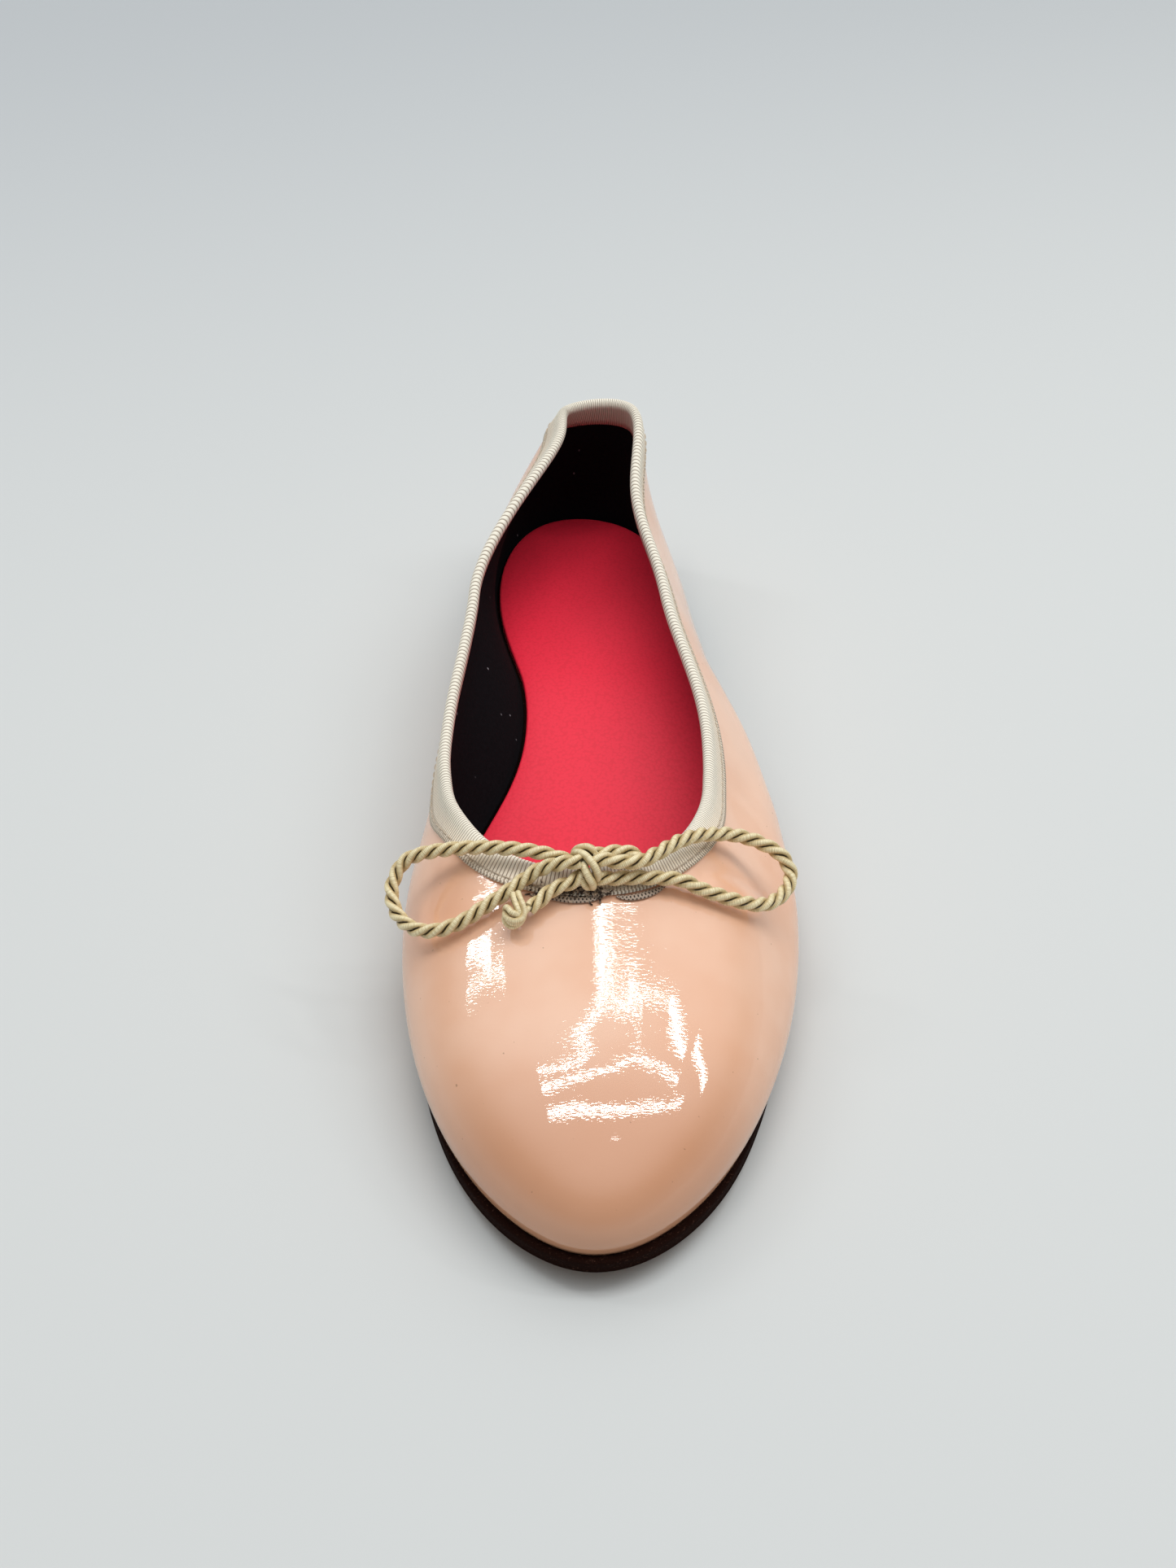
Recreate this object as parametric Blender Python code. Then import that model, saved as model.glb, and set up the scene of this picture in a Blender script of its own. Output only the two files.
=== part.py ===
"""Ballet flat, the left shoe: a hollow lasted upper between a leather sole and a folded ribbon topline.

Everything is worked out in the last's own frame, in metres: x is across (the little-toe side is
positive), y runs back from the tip of the upper, z stands on the floor. One empty then carries all the
pieces to the middle of the finished shoe, with its toe towards -Y.
"""

import math
from collections import namedtuple

import bmesh
import bpy
import numpy as np
from mathutils import Vector

# Last and sole
LENGTH = 0.2500             # tip of the upper to the back of the heel, along the foot line
BALL_WIDTH = 0.0780         # foot line, across the ball
SEAT_WIDTH = 0.0480         # foot line, across the heel seat
TOE_SPRING = 0.0050         # how far the sole's tip stands off the floor
HEEL_HEIGHT = 0.0090        # floor to the underside of the outsole at the seat
OUTSOLE_THICKNESS = 0.0042
INSOLE_THICKNESS = 0.0022
TOE_EDGE = 0.0020           # how far the outsole shows beyond the upper at the toe
SIDE_EDGE = 0.0008          # and along the sides and heel
HEEL_INSET = 0.0008         # the heel lift stands in from the outsole
HEEL_TAPER = 0.0010
EDGE_ROUND = 0.0006         # rounding of the sole's edges

# Places along the shoe, as shares of the length
TOE_LIP_FULL = 0.02         # the outsole's wider lip starts to narrow here
TOE_LIP_END = 0.16          # and ends here
TREAD_FRONT = 0.25          # the flat tread under the ball
TREAD_BACK = 0.42
THROAT_FRONT = 0.31         # the topline falls from the throat to the sides between these
THROAT_BACK = 0.44
NARROW_FROM = 0.45          # the foot line narrows from the ball's width to the seat's
NARROW_TO = 0.70
COLLAR_FROM = 0.50          # and the topline climbs to the collar
COLLAR_TO = 0.95
ARCH_TOP = 0.70             # the arch reaches the seat's height just before the heel
BREAST_LINE = 0.73          # front of the heel lift
SPRING_POWER = 1.8          # how late the toe spring lifts
COLLAR_POWER = 1.9          # how late the collar climbs

# Upper and topline
THROAT_HEIGHT = 0.0425
SIDE_HEIGHT = 0.0380
COLLAR_HEIGHT = 0.0560      # top of the upper at the back of the heel
UPPER_WALL = 0.0016
RIBBON = 0.0007             # thickness of the folded ribbon
RIBBON_OUTSIDE = 0.0095     # width of its outer leaf
RIBBON_INSIDE = 0.0080      # width of its inner leaf
RIBBON_ROLL = 0.0008        # how far its fold stands over the upper's edge

# Bow
CORD = 0.0035
KNOT_WIDTH = 0.0066
KNOT_DEPTH = 0.0078
KNOT_HEIGHT = 0.0064
TAIL_KNOT = 0.0060
CORD_STEP = 1.6             # spacing of a cord's points, in cord diameters

GAP = 0.0003                # running gap between neighbouring pieces
INSOLE_CLEAR = 0.0006       # between the insole's edge and the upper's inner face

# Colours
NUDE_PATENT = (0.80, 0.52, 0.38)
ECRU_RIBBON = (0.55, 0.50, 0.42)
GOLD_CORD = (0.48, 0.39, 0.22)
INSOLE_RED = (0.78, 0.04, 0.09)
SOLE_BROWN = (0.07, 0.035, 0.025)

# Facets
RIB_COUNT = 96              # ribs round the upper's solid
RIB_SAMPLES = 81            # points worked out along each rib
FACE_ROWS = 9               # rings on each face below the ribbon's leaf
FACE_POWER = 1.5            # how much closer they lie towards the foot line
CREST_STEPS = 4             # steps round the ribbon's fold
OUTLINE_SAMPLES = 720       # points worked out along the foot line
SOLE_STATIONS = 40          # stations along the sole, the heel and the insole
END_CLEAR = 0.0009          # how far the end stations stay from the tips
ROUTE_STEPS = 24            # steps between two points of a cord's route
SHARP_ANGLE = 38            # degrees; flatter edges are shaded smooth

# One row for each rib of the upper, from the back of the heel round the instep side to the toe and back
# along the outside. Across is a share of the half width there and along a share of the length. Out, up
# and down are the handles of the rib's curve, as shares of its height.
Rib = namedtuple(
    "Rib", "name foot_across foot_along foot_out foot_up rim_across rim_along brow_out brow_down"
)
RIBS = (
    Rib("heel_back", -0.12, 0.984, 0.10, 0.30, 0.14, 0.967, 0.06, 0.30),
    Rib("heel_medial_back", -0.75, 0.960, 0.10, 0.30, -0.33, 0.951, 0.14, 0.30),
    Rib("heel_medial", -1.10, 0.888, 0.10, 0.30, -0.40, 0.914, 0.22, 0.30),
    Rib("seat_medial", -1.10, 0.788, 0.12, 0.32, -0.88, 0.832, 0.16, 0.30),
    Rib("breast_medial", -0.83, 0.684, 0.14, 0.36, -1.20, 0.716, 0.06, 0.30),
    Rib("waist_medial", -0.65, 0.584, 0.22, 0.42, -1.09, 0.608, 0.03, 0.32),
    Rib("forepart_medial", -0.77, 0.484, 0.28, 0.42, -0.91, 0.504, -0.03, 0.34),
    Rib("ball_medial", -0.96, 0.368, 0.34, 0.44, -0.87, 0.420, 0.00, 0.34),
    Rib("toe_medial", -0.97, 0.240, 0.27, 0.46, -0.72, 0.368, 0.34, 0.34),
    Rib("toe_medial_front", -0.71, 0.100, 0.18, 0.52, -0.41, 0.334, 1.00, 0.34),
    Rib("toe_tip", -0.08, 0.006, 0.12, 0.58, 0.00, 0.322, 1.35, 0.36),
    Rib("toe_lateral_front", 0.53, 0.048, 0.14, 0.54, 0.35, 0.333, 1.05, 0.34),
    Rib("toe_lateral", 0.90, 0.144, 0.22, 0.46, 0.58, 0.364, 0.60, 0.34),
    Rib("ball_lateral", 1.08, 0.258, 0.38, 0.44, 0.70, 0.412, 0.22, 0.34),
    Rib("forepart_lateral", 1.12, 0.380, 0.42, 0.42, 0.735, 0.476, 0.14, 0.34),
    Rib("waist_lateral", 1.10, 0.504, 0.36, 0.40, 0.82, 0.560, 0.14, 0.34),
    Rib("breast_lateral", 1.30, 0.628, 0.20, 0.36, 0.86, 0.652, 0.16, 0.32),
    Rib("seat_lateral", 1.20, 0.750, 0.04, 0.32, 0.72, 0.748, 0.18, 0.30),
    Rib("heel_lateral", 1.02, 0.866, 0.00, 0.30, 0.52, 0.844, 0.14, 0.30),
    Rib("heel_lateral_back", 0.60, 0.954, 0.04, 0.30, 0.55, 0.938, 0.10, 0.30),
)
TOE_RIB = 10                # the rib whose top is the middle of the throat

# Bow, with each point across, behind and above the middle of the throat's edge
KNOT_PLACE = (-0.0010, -0.0060, 0.0034)
TAIL_KNOT_PLACE = (-0.0164, -0.0160, -0.0018)
LOOP_MEDIAL = (
    (-0.0046, -0.0039, 0.0031),
    (-0.0080, -0.0029, 0.0034),
    (-0.0117, -0.0017, 0.0036),
    (-0.0185, -0.0004, 0.0034),
    (-0.0272, 0.0022, 0.0009),
    (-0.0358, 0.0040, -0.0023),
    (-0.0413, 0.0043, -0.0053),
    (-0.0438, 0.0018, -0.0080),
    (-0.0444, -0.0020, -0.0095),
    (-0.0428, -0.0074, -0.0103),
    (-0.0390, -0.0124, -0.0093),
    (-0.0340, -0.0146, -0.0077),
    (-0.0285, -0.0142, -0.0055),
    (-0.0233, -0.0120, -0.0030),
    (-0.0183, -0.0098, -0.0005),
    (-0.0150, -0.0078, 0.0009),
    (-0.0116, -0.0064, 0.0028),
    (-0.0083, -0.0066, 0.0046),
    (-0.0051, -0.0069, 0.0058),
)
LOOP_LATERAL = (
    (0.0027, -0.0079, 0.0019),
    (0.0065, -0.0073, 0.0014),
    (0.0106, -0.0069, 0.0011),
    (0.0190, -0.0064, 0.0000),
    (0.0241, -0.0071, -0.0024),
    (0.0312, -0.0074, -0.0054),
    (0.0363, -0.0064, -0.0079),
    (0.0400, -0.0043, -0.0092),
    (0.0432, -0.0006, -0.0095),
    (0.0445, 0.0036, -0.0085),
    (0.0423, 0.0066, -0.0055),
    (0.0370, 0.0088, -0.0035),
    (0.0318, 0.0092, -0.0019),
    (0.0282, 0.0080, -0.0004),
    (0.0236, 0.0048, 0.0024),
    (0.0192, 0.0013, 0.0041),
    (0.0145, -0.0030, 0.0049),
    (0.0104, -0.0060, 0.0053),
    (0.0065, -0.0066, 0.0056),
    (0.0027, -0.0062, 0.0059),
)
TAIL_MEDIAL = (
    (-0.0042, -0.0089, 0.0018),
    (-0.0082, -0.0102, 0.0009),
    (-0.0116, -0.0128, -0.0005),
    (-0.0134, -0.0142, -0.0010),
)
TAIL_LATERAL = (
    (0.0024, -0.0020, 0.0045),
    (0.0060, -0.0009, 0.0046),
    (0.0095, -0.0005, 0.0045),
    (0.0123, -0.0003, 0.0044),
)


# Number helpers

def ease(share):
    """A smooth step from 0 to 1."""
    share = np.clip(share, 0.0, 1.0)
    return share * share * (3.0 - 2.0 * share)


def closed_spline(values, turns):
    """A smooth closed curve through the values, one to a rib, read at places counted in ribs."""
    knots = np.asarray(values, float)
    count = len(knots)
    matrix = 4.0 * np.eye(count) + np.roll(np.eye(count), 1, 1) + np.roll(np.eye(count), -1, 1)
    slopes = np.linalg.solve(matrix, 3.0 * (np.roll(knots, -1) - np.roll(knots, 1)))
    low = np.floor(turns).astype(int) % count
    high = (low + 1) % count
    t = turns - np.floor(turns)
    return (
        (2 * t**3 - 3 * t**2 + 1) * knots[low]
        + (t**3 - 2 * t**2 + t) * slopes[low]
        + (3 * t**2 - 2 * t**3) * knots[high]
        + (t**3 - t**2) * slopes[high]
    )


def rib_column(name, turns):
    return closed_spline([getattr(rib, name) for rib in RIBS], turns)


def turns_of(count):
    """Places round the shoe, counted in ribs, evenly spread over the table's rows."""
    return np.arange(count) * len(RIBS) / count


def outward(line):
    """Level unit normals of a closed line that runs from the heel round the instep side to the toe."""
    step = np.roll(line, -1, 0) - np.roll(line, 1, 0)
    normal = np.column_stack([step[:, 1], -step[:, 0]])
    normal /= np.linalg.norm(normal, axis=1)[:, None]
    side = np.sum((line - line.mean(0)) * normal)
    return normal if side > 0 else -normal


# The last

def half_width(along):
    """Half the foot line's width: the ball's in front, the seat's behind."""
    back = ease((along - NARROW_FROM) / (NARROW_TO - NARROW_FROM))
    return 0.5 * (BALL_WIDTH * (1.0 - back) + SEAT_WIDTH * back)


def sole_underside(along):
    """Height of the outsole's underside: toe spring, flat tread, arch and seat."""
    spring = TOE_SPRING * np.maximum((TREAD_FRONT - along) / TREAD_FRONT, 0.0) ** SPRING_POWER
    arch = HEEL_HEIGHT * ease((along - TREAD_BACK) / (ARCH_TOP - TREAD_BACK))
    return spring + arch


def sole_top(along):
    return sole_underside(along) + OUTSOLE_THICKNESS


def topline_height(along):
    throat = ease((THROAT_BACK - along) / (THROAT_BACK - THROAT_FRONT))
    collar = np.clip((along - COLLAR_FROM) / (COLLAR_TO - COLLAR_FROM), 0.0, 1.0) ** COLLAR_POWER
    return SIDE_HEIGHT + (THROAT_HEIGHT - SIDE_HEIGHT) * throat + (COLLAR_HEIGHT - SIDE_HEIGHT) * collar


def foot_line(count):
    """The line where the upper meets the sole, seen from above."""
    turns = turns_of(count)
    along = rib_column("foot_along", turns)
    return np.column_stack([rib_column("foot_across", turns) * half_width(along), along * LENGTH])


def rib_controls(count):
    """The four control points of every rib, from the topline down to the foot line."""
    turns = turns_of(count)
    foot = foot_line(count)
    rim_along = rib_column("rim_along", turns)
    rim = np.column_stack([rib_column("rim_across", turns) * half_width(rim_along), rim_along * LENGTH])
    foot_z = sole_top(foot[:, 1] / LENGTH) + GAP
    rim_z = topline_height(rim_along)
    rise = (rim_z - foot_z)[:, None]
    rim_point = np.column_stack([rim, rim_z])
    foot_point = np.column_stack([foot, foot_z])
    brow = rise * np.column_stack(
        [outward(rim) * rib_column("brow_out", turns)[:, None], -rib_column("brow_down", turns)]
    )
    bulge = rise * np.column_stack(
        [outward(foot) * rib_column("foot_out", turns)[:, None], rib_column("foot_up", turns)]
    )
    return rim_point, rim_point + brow, foot_point + bulge, foot_point


class Skin:
    """The upper's outer face, read by its depth below the topline along each rib."""

    def __init__(self, count):
        t = np.linspace(0.0, 1.0, RIB_SAMPLES)[:, None, None]
        rim, brow, bulge, foot = rib_controls(count)
        self.points = (
            (1 - t) ** 3 * rim + 3 * t * (1 - t) ** 2 * brow + 3 * t * t * (1 - t) * bulge + t**3 * foot
        )
        round_step = np.roll(self.points, -1, 1) - np.roll(self.points, 1, 1)
        down_step = np.gradient(self.points, axis=0)
        normal = np.cross(round_step, down_step)
        normal /= np.linalg.norm(normal, axis=2)[:, :, None]
        middle = self.points.mean((0, 1))
        side = np.sum((self.points - middle) * normal)
        self.normals = normal if side > 0 else -normal
        steps = np.linalg.norm(np.diff(self.points, axis=0), axis=2)
        self.depths = np.vstack([np.zeros(count), np.cumsum(steps, axis=0)])
        self.count = count

    def length(self):
        return self.depths[-1]

    def read(self, field, depth):
        depth = np.broadcast_to(depth, (self.count,))
        columns = [
            [np.interp(depth[i], self.depths[:, i], field[:, i, axis]) for axis in range(3)]
            for i in range(self.count)
        ]
        return np.array(columns)

    def at(self, depth, inward=0.0):
        """A ring of points at a depth below the topline, sunk inward from the outer face."""
        return self.read(self.points, depth) - inward * self.read(self.normals, depth)


# Mesh helpers

def clear_scene():
    for obj in list(bpy.data.objects):
        bpy.data.objects.remove(obj, do_unlink=True)


def finish(name, data, carrier, colour, roughness, metallic=0.0):
    """Give a piece its own material and hang it on the carrier."""
    material = bpy.data.materials.new(name)
    material.use_nodes = True
    shader = material.node_tree.nodes["Principled BSDF"]
    shader.inputs["Base Color"].default_value = (*colour, 1.0)
    shader.inputs["Roughness"].default_value = roughness
    shader.inputs["Metallic"].default_value = metallic
    data.materials.append(material)
    obj = bpy.data.objects.new(name, data)
    bpy.context.scene.collection.objects.link(obj)
    obj.parent = carrier
    return obj


def mesh_from(name, bm):
    """Turn a closed body's faces outward and shade it smooth between its edges."""
    bmesh.ops.recalc_face_normals(bm, faces=bm.faces)
    mesh = bpy.data.meshes.new(name)
    bm.to_mesh(mesh)
    bm.free()
    mesh.shade_smooth()
    mesh.set_sharp_from_angle(angle=math.radians(SHARP_ANGLE))
    return mesh


def ring_mesh(name, rings):
    """Join closed rings one to the next and the last to the first, as a hose bent round the shoe."""
    bm = bmesh.new()
    rows = [[bm.verts.new(point) for point in ring] for ring in rings]
    for row, below in zip(rows, rows[1:] + rows[:1]):
        for i in range(len(row)):
            j = (i + 1) % len(row)
            bm.faces.new((row[i], row[j], below[j], below[i]))
    return mesh_from(name, bm)


def slab_mesh(name, layers):
    """Close a stack of outlines. Each holds the points of one or two edges, station by station."""
    bm = bmesh.new()
    stack = [[[bm.verts.new(point) for point in pair] for pair in layer] for layer in layers]
    loops = []
    for layer in stack:
        left = [pair[0] for pair in layer]
        right = [pair[1] for pair in reversed(layer) if len(pair) > 1]
        loops.append(left + right)
    for loop, above in zip(loops, loops[1:]):
        for i in range(len(loop)):
            j = (i + 1) % len(loop)
            bm.faces.new((loop[i], loop[j], above[j], above[i]))
    for layer in (stack[0], stack[-1]):
        for here, there in zip(layer, layer[1:]):
            bm.faces.new(here + there[::-1])
    return mesh_from(name, bm)


# Sole, heel and insole

def edge_margin(along):
    """How far the outsole stands out from the foot line: a wider lip round the toe."""
    return SIDE_EDGE + (TOE_EDGE - SIDE_EDGE) * ease((TOE_LIP_END - along) / (TOE_LIP_END - TOE_LIP_FULL))


def outline_sides(margin):
    """The foot line moved out by a margin, split at toe and heel into its instep side and its outside."""
    line = foot_line(OUTLINE_SAMPLES)
    line = line + outward(line) * margin(line[:, 1] / LENGTH)[:, None]
    line = np.roll(line, -np.argmax(line[:, 1]), 0)
    toe = np.argmin(line[:, 1])
    medial = line[: toe + 1][::-1]
    lateral = np.vstack([line[toe:], line[:1]])
    return medial, lateral


def stations(front, back):
    """Stations along the shoe, close together at both ends, with one at each end of the flat tread."""
    turn = np.linspace(0.0, math.pi, SOLE_STATIONS)
    places = front + (back - front) * 0.5 * (1.0 - np.cos(turn))
    for mark in (TREAD_FRONT * LENGTH, TREAD_BACK * LENGTH):
        if front < mark < back:
            places[np.argmin(np.abs(places - mark))] = mark
    return places


def slab(name, margin, levels, front=None):
    """A slab that follows the foot line. Levels hold how far each outline is inset, and its height."""
    sides = [outline_sides(lambda along, inset=inset: margin(along) - inset) for inset, _ in levels]
    toe = max(medial[0, 1] for medial, _ in sides) + END_CLEAR
    heel = min(medial[-1, 1] for medial, _ in sides) - END_CLEAR
    places = stations(toe if front is None else front, heel)
    layers = []
    for (medial, lateral), (_, height) in zip(sides, levels):
        pairs = [
            [
                (np.interp(y, side[:, 1], side[:, 0]), y, height(y / LENGTH))
                for side in (medial, lateral)
            ]
            for y in places
        ]
        ends = [[(*medial[end], height(medial[end, 1] / LENGTH))] for end in (0, -1)]
        layers.append((ends[:1] if front is None else []) + pairs + ends[1:])
    return slab_mesh(name, layers)


def outsole():
    levels = (
        (EDGE_ROUND, sole_underside),
        (0.0, lambda along: sole_underside(along) + EDGE_ROUND),
        (0.0, lambda along: sole_top(along) - EDGE_ROUND),
        (EDGE_ROUND, sole_top),
    )
    return slab("outsole", edge_margin, levels)


def heel_lift():
    """The low stacked heel, from the floor to the outsole's seat."""
    levels = (
        (HEEL_TAPER + EDGE_ROUND, lambda along: 0.0),
        (HEEL_TAPER, lambda along: EDGE_ROUND),
        (0.0, lambda along: HEEL_HEIGHT - GAP),
    )
    return slab("heel_lift", lambda along: edge_margin(along) - HEEL_INSET, levels, BREAST_LINE * LENGTH)


def insole():
    """The sock, cut to lie inside the upper's wall."""
    levels = (
        (0.0, lambda along: sole_top(along) + GAP),
        (0.0, lambda along: sole_top(along) + GAP + INSOLE_THICKNESS - EDGE_ROUND),
        (EDGE_ROUND, lambda along: sole_top(along) + GAP + INSOLE_THICKNESS),
    )
    return slab("insole", lambda along: 0.0 * along - UPPER_WALL - INSOLE_CLEAR, levels)


# Upper and ribbon

def crest(skin, inward, over):
    """A ring past the upper's edge: sunk inward from the outer face and carried on over the topline."""
    rise = skin.points[0] - skin.points[1]
    rise /= np.linalg.norm(rise, axis=1)[:, None]
    return skin.at(0.0, inward) + over * rise


def face_depths(skin, leaf):
    """Depths of a face's rings: through the ribbon's leaf, then closer together towards the foot line."""
    shares = [1.0 - (1.0 - k / FACE_ROWS) ** FACE_POWER for k in range(1, FACE_ROWS + 1)]
    return [0.0, leaf / 2, leaf] + [leaf + (skin.length() - leaf) * share for share in shares]


def upper(skin):
    outer = [skin.at(depth) for depth in face_depths(skin, RIBBON_OUTSIDE)]
    inner = [skin.at(depth, UPPER_WALL) for depth in face_depths(skin, RIBBON_INSIDE)]
    inner[-1][:, 2] = sole_top(inner[-1][:, 1] / LENGTH) + GAP
    edge = crest(skin, UPPER_WALL / 2, UPPER_WALL / 2)
    return ring_mesh("upper", outer + inner[::-1] + [edge])


def fold(skin, radius):
    """Rings of the ribbon's fold over the upper's edge, from the outside in."""
    turns = [math.pi * k / CREST_STEPS for k in range(1, CREST_STEPS)]
    middle = UPPER_WALL / 2
    return [crest(skin, middle - radius * math.cos(turn), radius * math.sin(turn)) for turn in turns]


def topline_ribbon(skin):
    """The ribbon folded over the topline, with one leaf on each face of the upper."""
    near, far = GAP, GAP + RIBBON
    outside = (RIBBON_OUTSIDE, RIBBON_OUTSIDE / 2, 0.0)
    inside = (0.0, RIBBON_INSIDE / 2, RIBBON_INSIDE)
    rings = [skin.at(depth, -far) for depth in outside]
    rings += fold(skin, UPPER_WALL / 2 + far + RIBBON_ROLL)
    rings += [skin.at(depth, UPPER_WALL + far) for depth in inside]
    rings += [skin.at(depth, UPPER_WALL + near) for depth in inside[::-1]]
    rings += fold(skin, UPPER_WALL / 2 + near)[::-1]
    rings += [skin.at(depth, -near) for depth in outside[::-1]]
    return ring_mesh("topline_ribbon", rings)


# Bow

def from_throat(points):
    """Places measured from the middle of the throat's edge, in the last's own frame."""
    rim_along = RIBS[TOE_RIB].rim_along
    return np.asarray(points) + (0.0, rim_along * LENGTH, topline_height(rim_along))


def smooth_route(points, spacing):
    """Points read at even spacing from a smooth curve through a route's own points."""
    knots = np.asarray(points, float)
    tangents = np.gradient(knots, axis=0)
    fine = []
    for k in range(len(knots) - 1):
        t = np.linspace(0.0, 1.0, ROUTE_STEPS, endpoint=False)[:, None]
        fine.append(
            (2 * t**3 - 3 * t**2 + 1) * knots[k]
            + (t**3 - 2 * t**2 + t) * tangents[k]
            + (3 * t**2 - 2 * t**3) * knots[k + 1]
            + (t**3 - t**2) * tangents[k + 1]
        )
    fine = np.vstack(fine + [knots[-1:]])
    length = np.concatenate([[0.0], np.cumsum(np.linalg.norm(np.diff(fine, axis=0), axis=1))])
    count = max(3, round(length[-1] / spacing) + 1)
    places = np.linspace(0.0, length[-1], count)
    return np.column_stack([np.interp(places, length, fine[:, axis]) for axis in range(3)])


def cord(name, route, carrier):
    curve = bpy.data.curves.new(name, "CURVE")
    curve.dimensions = "3D"
    curve.bevel_depth = CORD / 2
    curve.bevel_resolution = 2
    curve.use_fill_caps = True
    points = smooth_route(from_throat(route), CORD_STEP * CORD)
    spline = curve.splines.new("POLY")
    spline.points.add(len(points) - 1)
    for spot, point in zip(spline.points, points):
        spot.co = (*point, 1.0)
    return finish(name, curve, carrier, GOLD_CORD, 0.45)


def knot(name, centre, size, carrier):
    """A tied knot's outer form: a rounded lump with flattened sides."""
    bm = bmesh.new()
    bmesh.ops.create_icosphere(bm, subdivisions=2, radius=0.5)
    for vert in bm.verts:
        vert.co = Vector(from_throat(centre)) + Vector([axis * span for axis, span in zip(vert.co, size)])
    return finish(name, mesh_from(name, bm), carrier, GOLD_CORD, 0.45)


def middle_of(objects):
    """The point on the floor under the middle of the finished shoe."""
    points = np.array([vert.co for obj in objects for vert in obj.data.vertices])
    low, high = points.min(0), points.max(0)
    return (low + high) / 2


def main():
    clear_scene()
    shoe = bpy.data.objects.new("shoe", None)
    bpy.context.scene.collection.objects.link(shoe)
    skin = Skin(RIB_COUNT)
    pieces = [
        finish("outsole", outsole(), shoe, SOLE_BROWN, 0.75),
        finish("heel_lift", heel_lift(), shoe, SOLE_BROWN, 0.75),
        finish("upper", upper(skin), shoe, NUDE_PATENT, 0.12),
        finish("insole", insole(), shoe, INSOLE_RED, 0.5),
        finish("topline_ribbon", topline_ribbon(skin), shoe, ECRU_RIBBON, 0.85),
    ]
    centre = middle_of(pieces)
    shoe.location = (-centre[0], -centre[1], 0.0)
    knot("bow_knot", KNOT_PLACE, (KNOT_WIDTH, KNOT_DEPTH, KNOT_HEIGHT), shoe)
    knot("bow_tail_knot", TAIL_KNOT_PLACE, (TAIL_KNOT,) * 3, shoe)
    cord("bow_loop_medial", LOOP_MEDIAL, shoe)
    cord("bow_loop_lateral", LOOP_LATERAL, shoe)
    cord("bow_tail_medial", TAIL_MEDIAL, shoe)
    cord("bow_tail_lateral", TAIL_LATERAL, shoe)


main()
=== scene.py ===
"""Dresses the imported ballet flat: patent leather, a folded ribbon, a tied cord bow, insole and sole."""

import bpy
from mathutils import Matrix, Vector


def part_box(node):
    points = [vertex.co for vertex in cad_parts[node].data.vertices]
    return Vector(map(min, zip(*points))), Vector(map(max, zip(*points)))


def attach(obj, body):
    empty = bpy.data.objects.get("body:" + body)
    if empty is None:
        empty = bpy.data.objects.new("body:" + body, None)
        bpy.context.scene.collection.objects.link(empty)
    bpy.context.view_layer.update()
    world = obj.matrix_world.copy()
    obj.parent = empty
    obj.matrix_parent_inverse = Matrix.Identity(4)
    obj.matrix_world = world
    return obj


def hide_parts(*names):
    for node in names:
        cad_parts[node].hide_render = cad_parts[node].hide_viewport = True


bl_info = {
    "name": "Ballet Flat",
    "version": (1, 0, 0),
    "blender": (4, 5, 0),
    "location": "View3D > Sidebar > Ballet Flat",
    "description": "Dresses a ballet flat in patent leather, ribbon and cord",
    "category": "Object",
}

import math
import random
from collections import namedtuple

import bmesh
import bpy
import numpy as np
from mathutils import Matrix, Vector, noise

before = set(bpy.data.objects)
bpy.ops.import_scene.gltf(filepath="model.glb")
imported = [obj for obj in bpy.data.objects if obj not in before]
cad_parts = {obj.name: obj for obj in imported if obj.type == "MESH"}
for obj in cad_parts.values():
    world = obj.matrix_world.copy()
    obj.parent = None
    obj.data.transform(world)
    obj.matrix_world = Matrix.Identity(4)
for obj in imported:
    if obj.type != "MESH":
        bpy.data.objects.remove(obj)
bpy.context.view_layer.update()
BODY = "root"

# The last, in its own frame: x across, y back from the tip of the upper, z up from the floor
LENGTH = 0.2500
BALL_WIDTH = 0.0780
SEAT_WIDTH = 0.0480
TOE_SPRING = 0.0050
HEEL_HEIGHT = 0.0090
OUTSOLE_THICKNESS = 0.0042
INSOLE_THICKNESS = 0.0022
TOE_EDGE = 0.0020
SIDE_EDGE = 0.0008
HEEL_INSET = 0.0008
HEEL_TAPER = 0.0010
EDGE_ROUND = 0.0006
UPPER_WALL = 0.0016
GAP = 0.0003
THROAT_DROP = 0.0042
INSOLE_CLEAR = 0.0006

# Places along the shoe, as shares of the length
TOE_LIP_FULL = 0.02
TOE_LIP_END = 0.16
TREAD_FRONT = 0.25
TREAD_BACK = 0.42
THROAT_FRONT = 0.31
THROAT_BACK = 0.44
NARROW_FROM = 0.45
NARROW_TO = 0.70
COLLAR_FROM = 0.50
COLLAR_TO = 0.95
ARCH_TOP = 0.70
BREAST_LINE = 0.73
SPRING_POWER = 1.8
COLLAR_POWER = 1.9
THROAT_HEIGHT = 0.0425
SIDE_HEIGHT = 0.0380
COLLAR_HEIGHT = 0.0560

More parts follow.
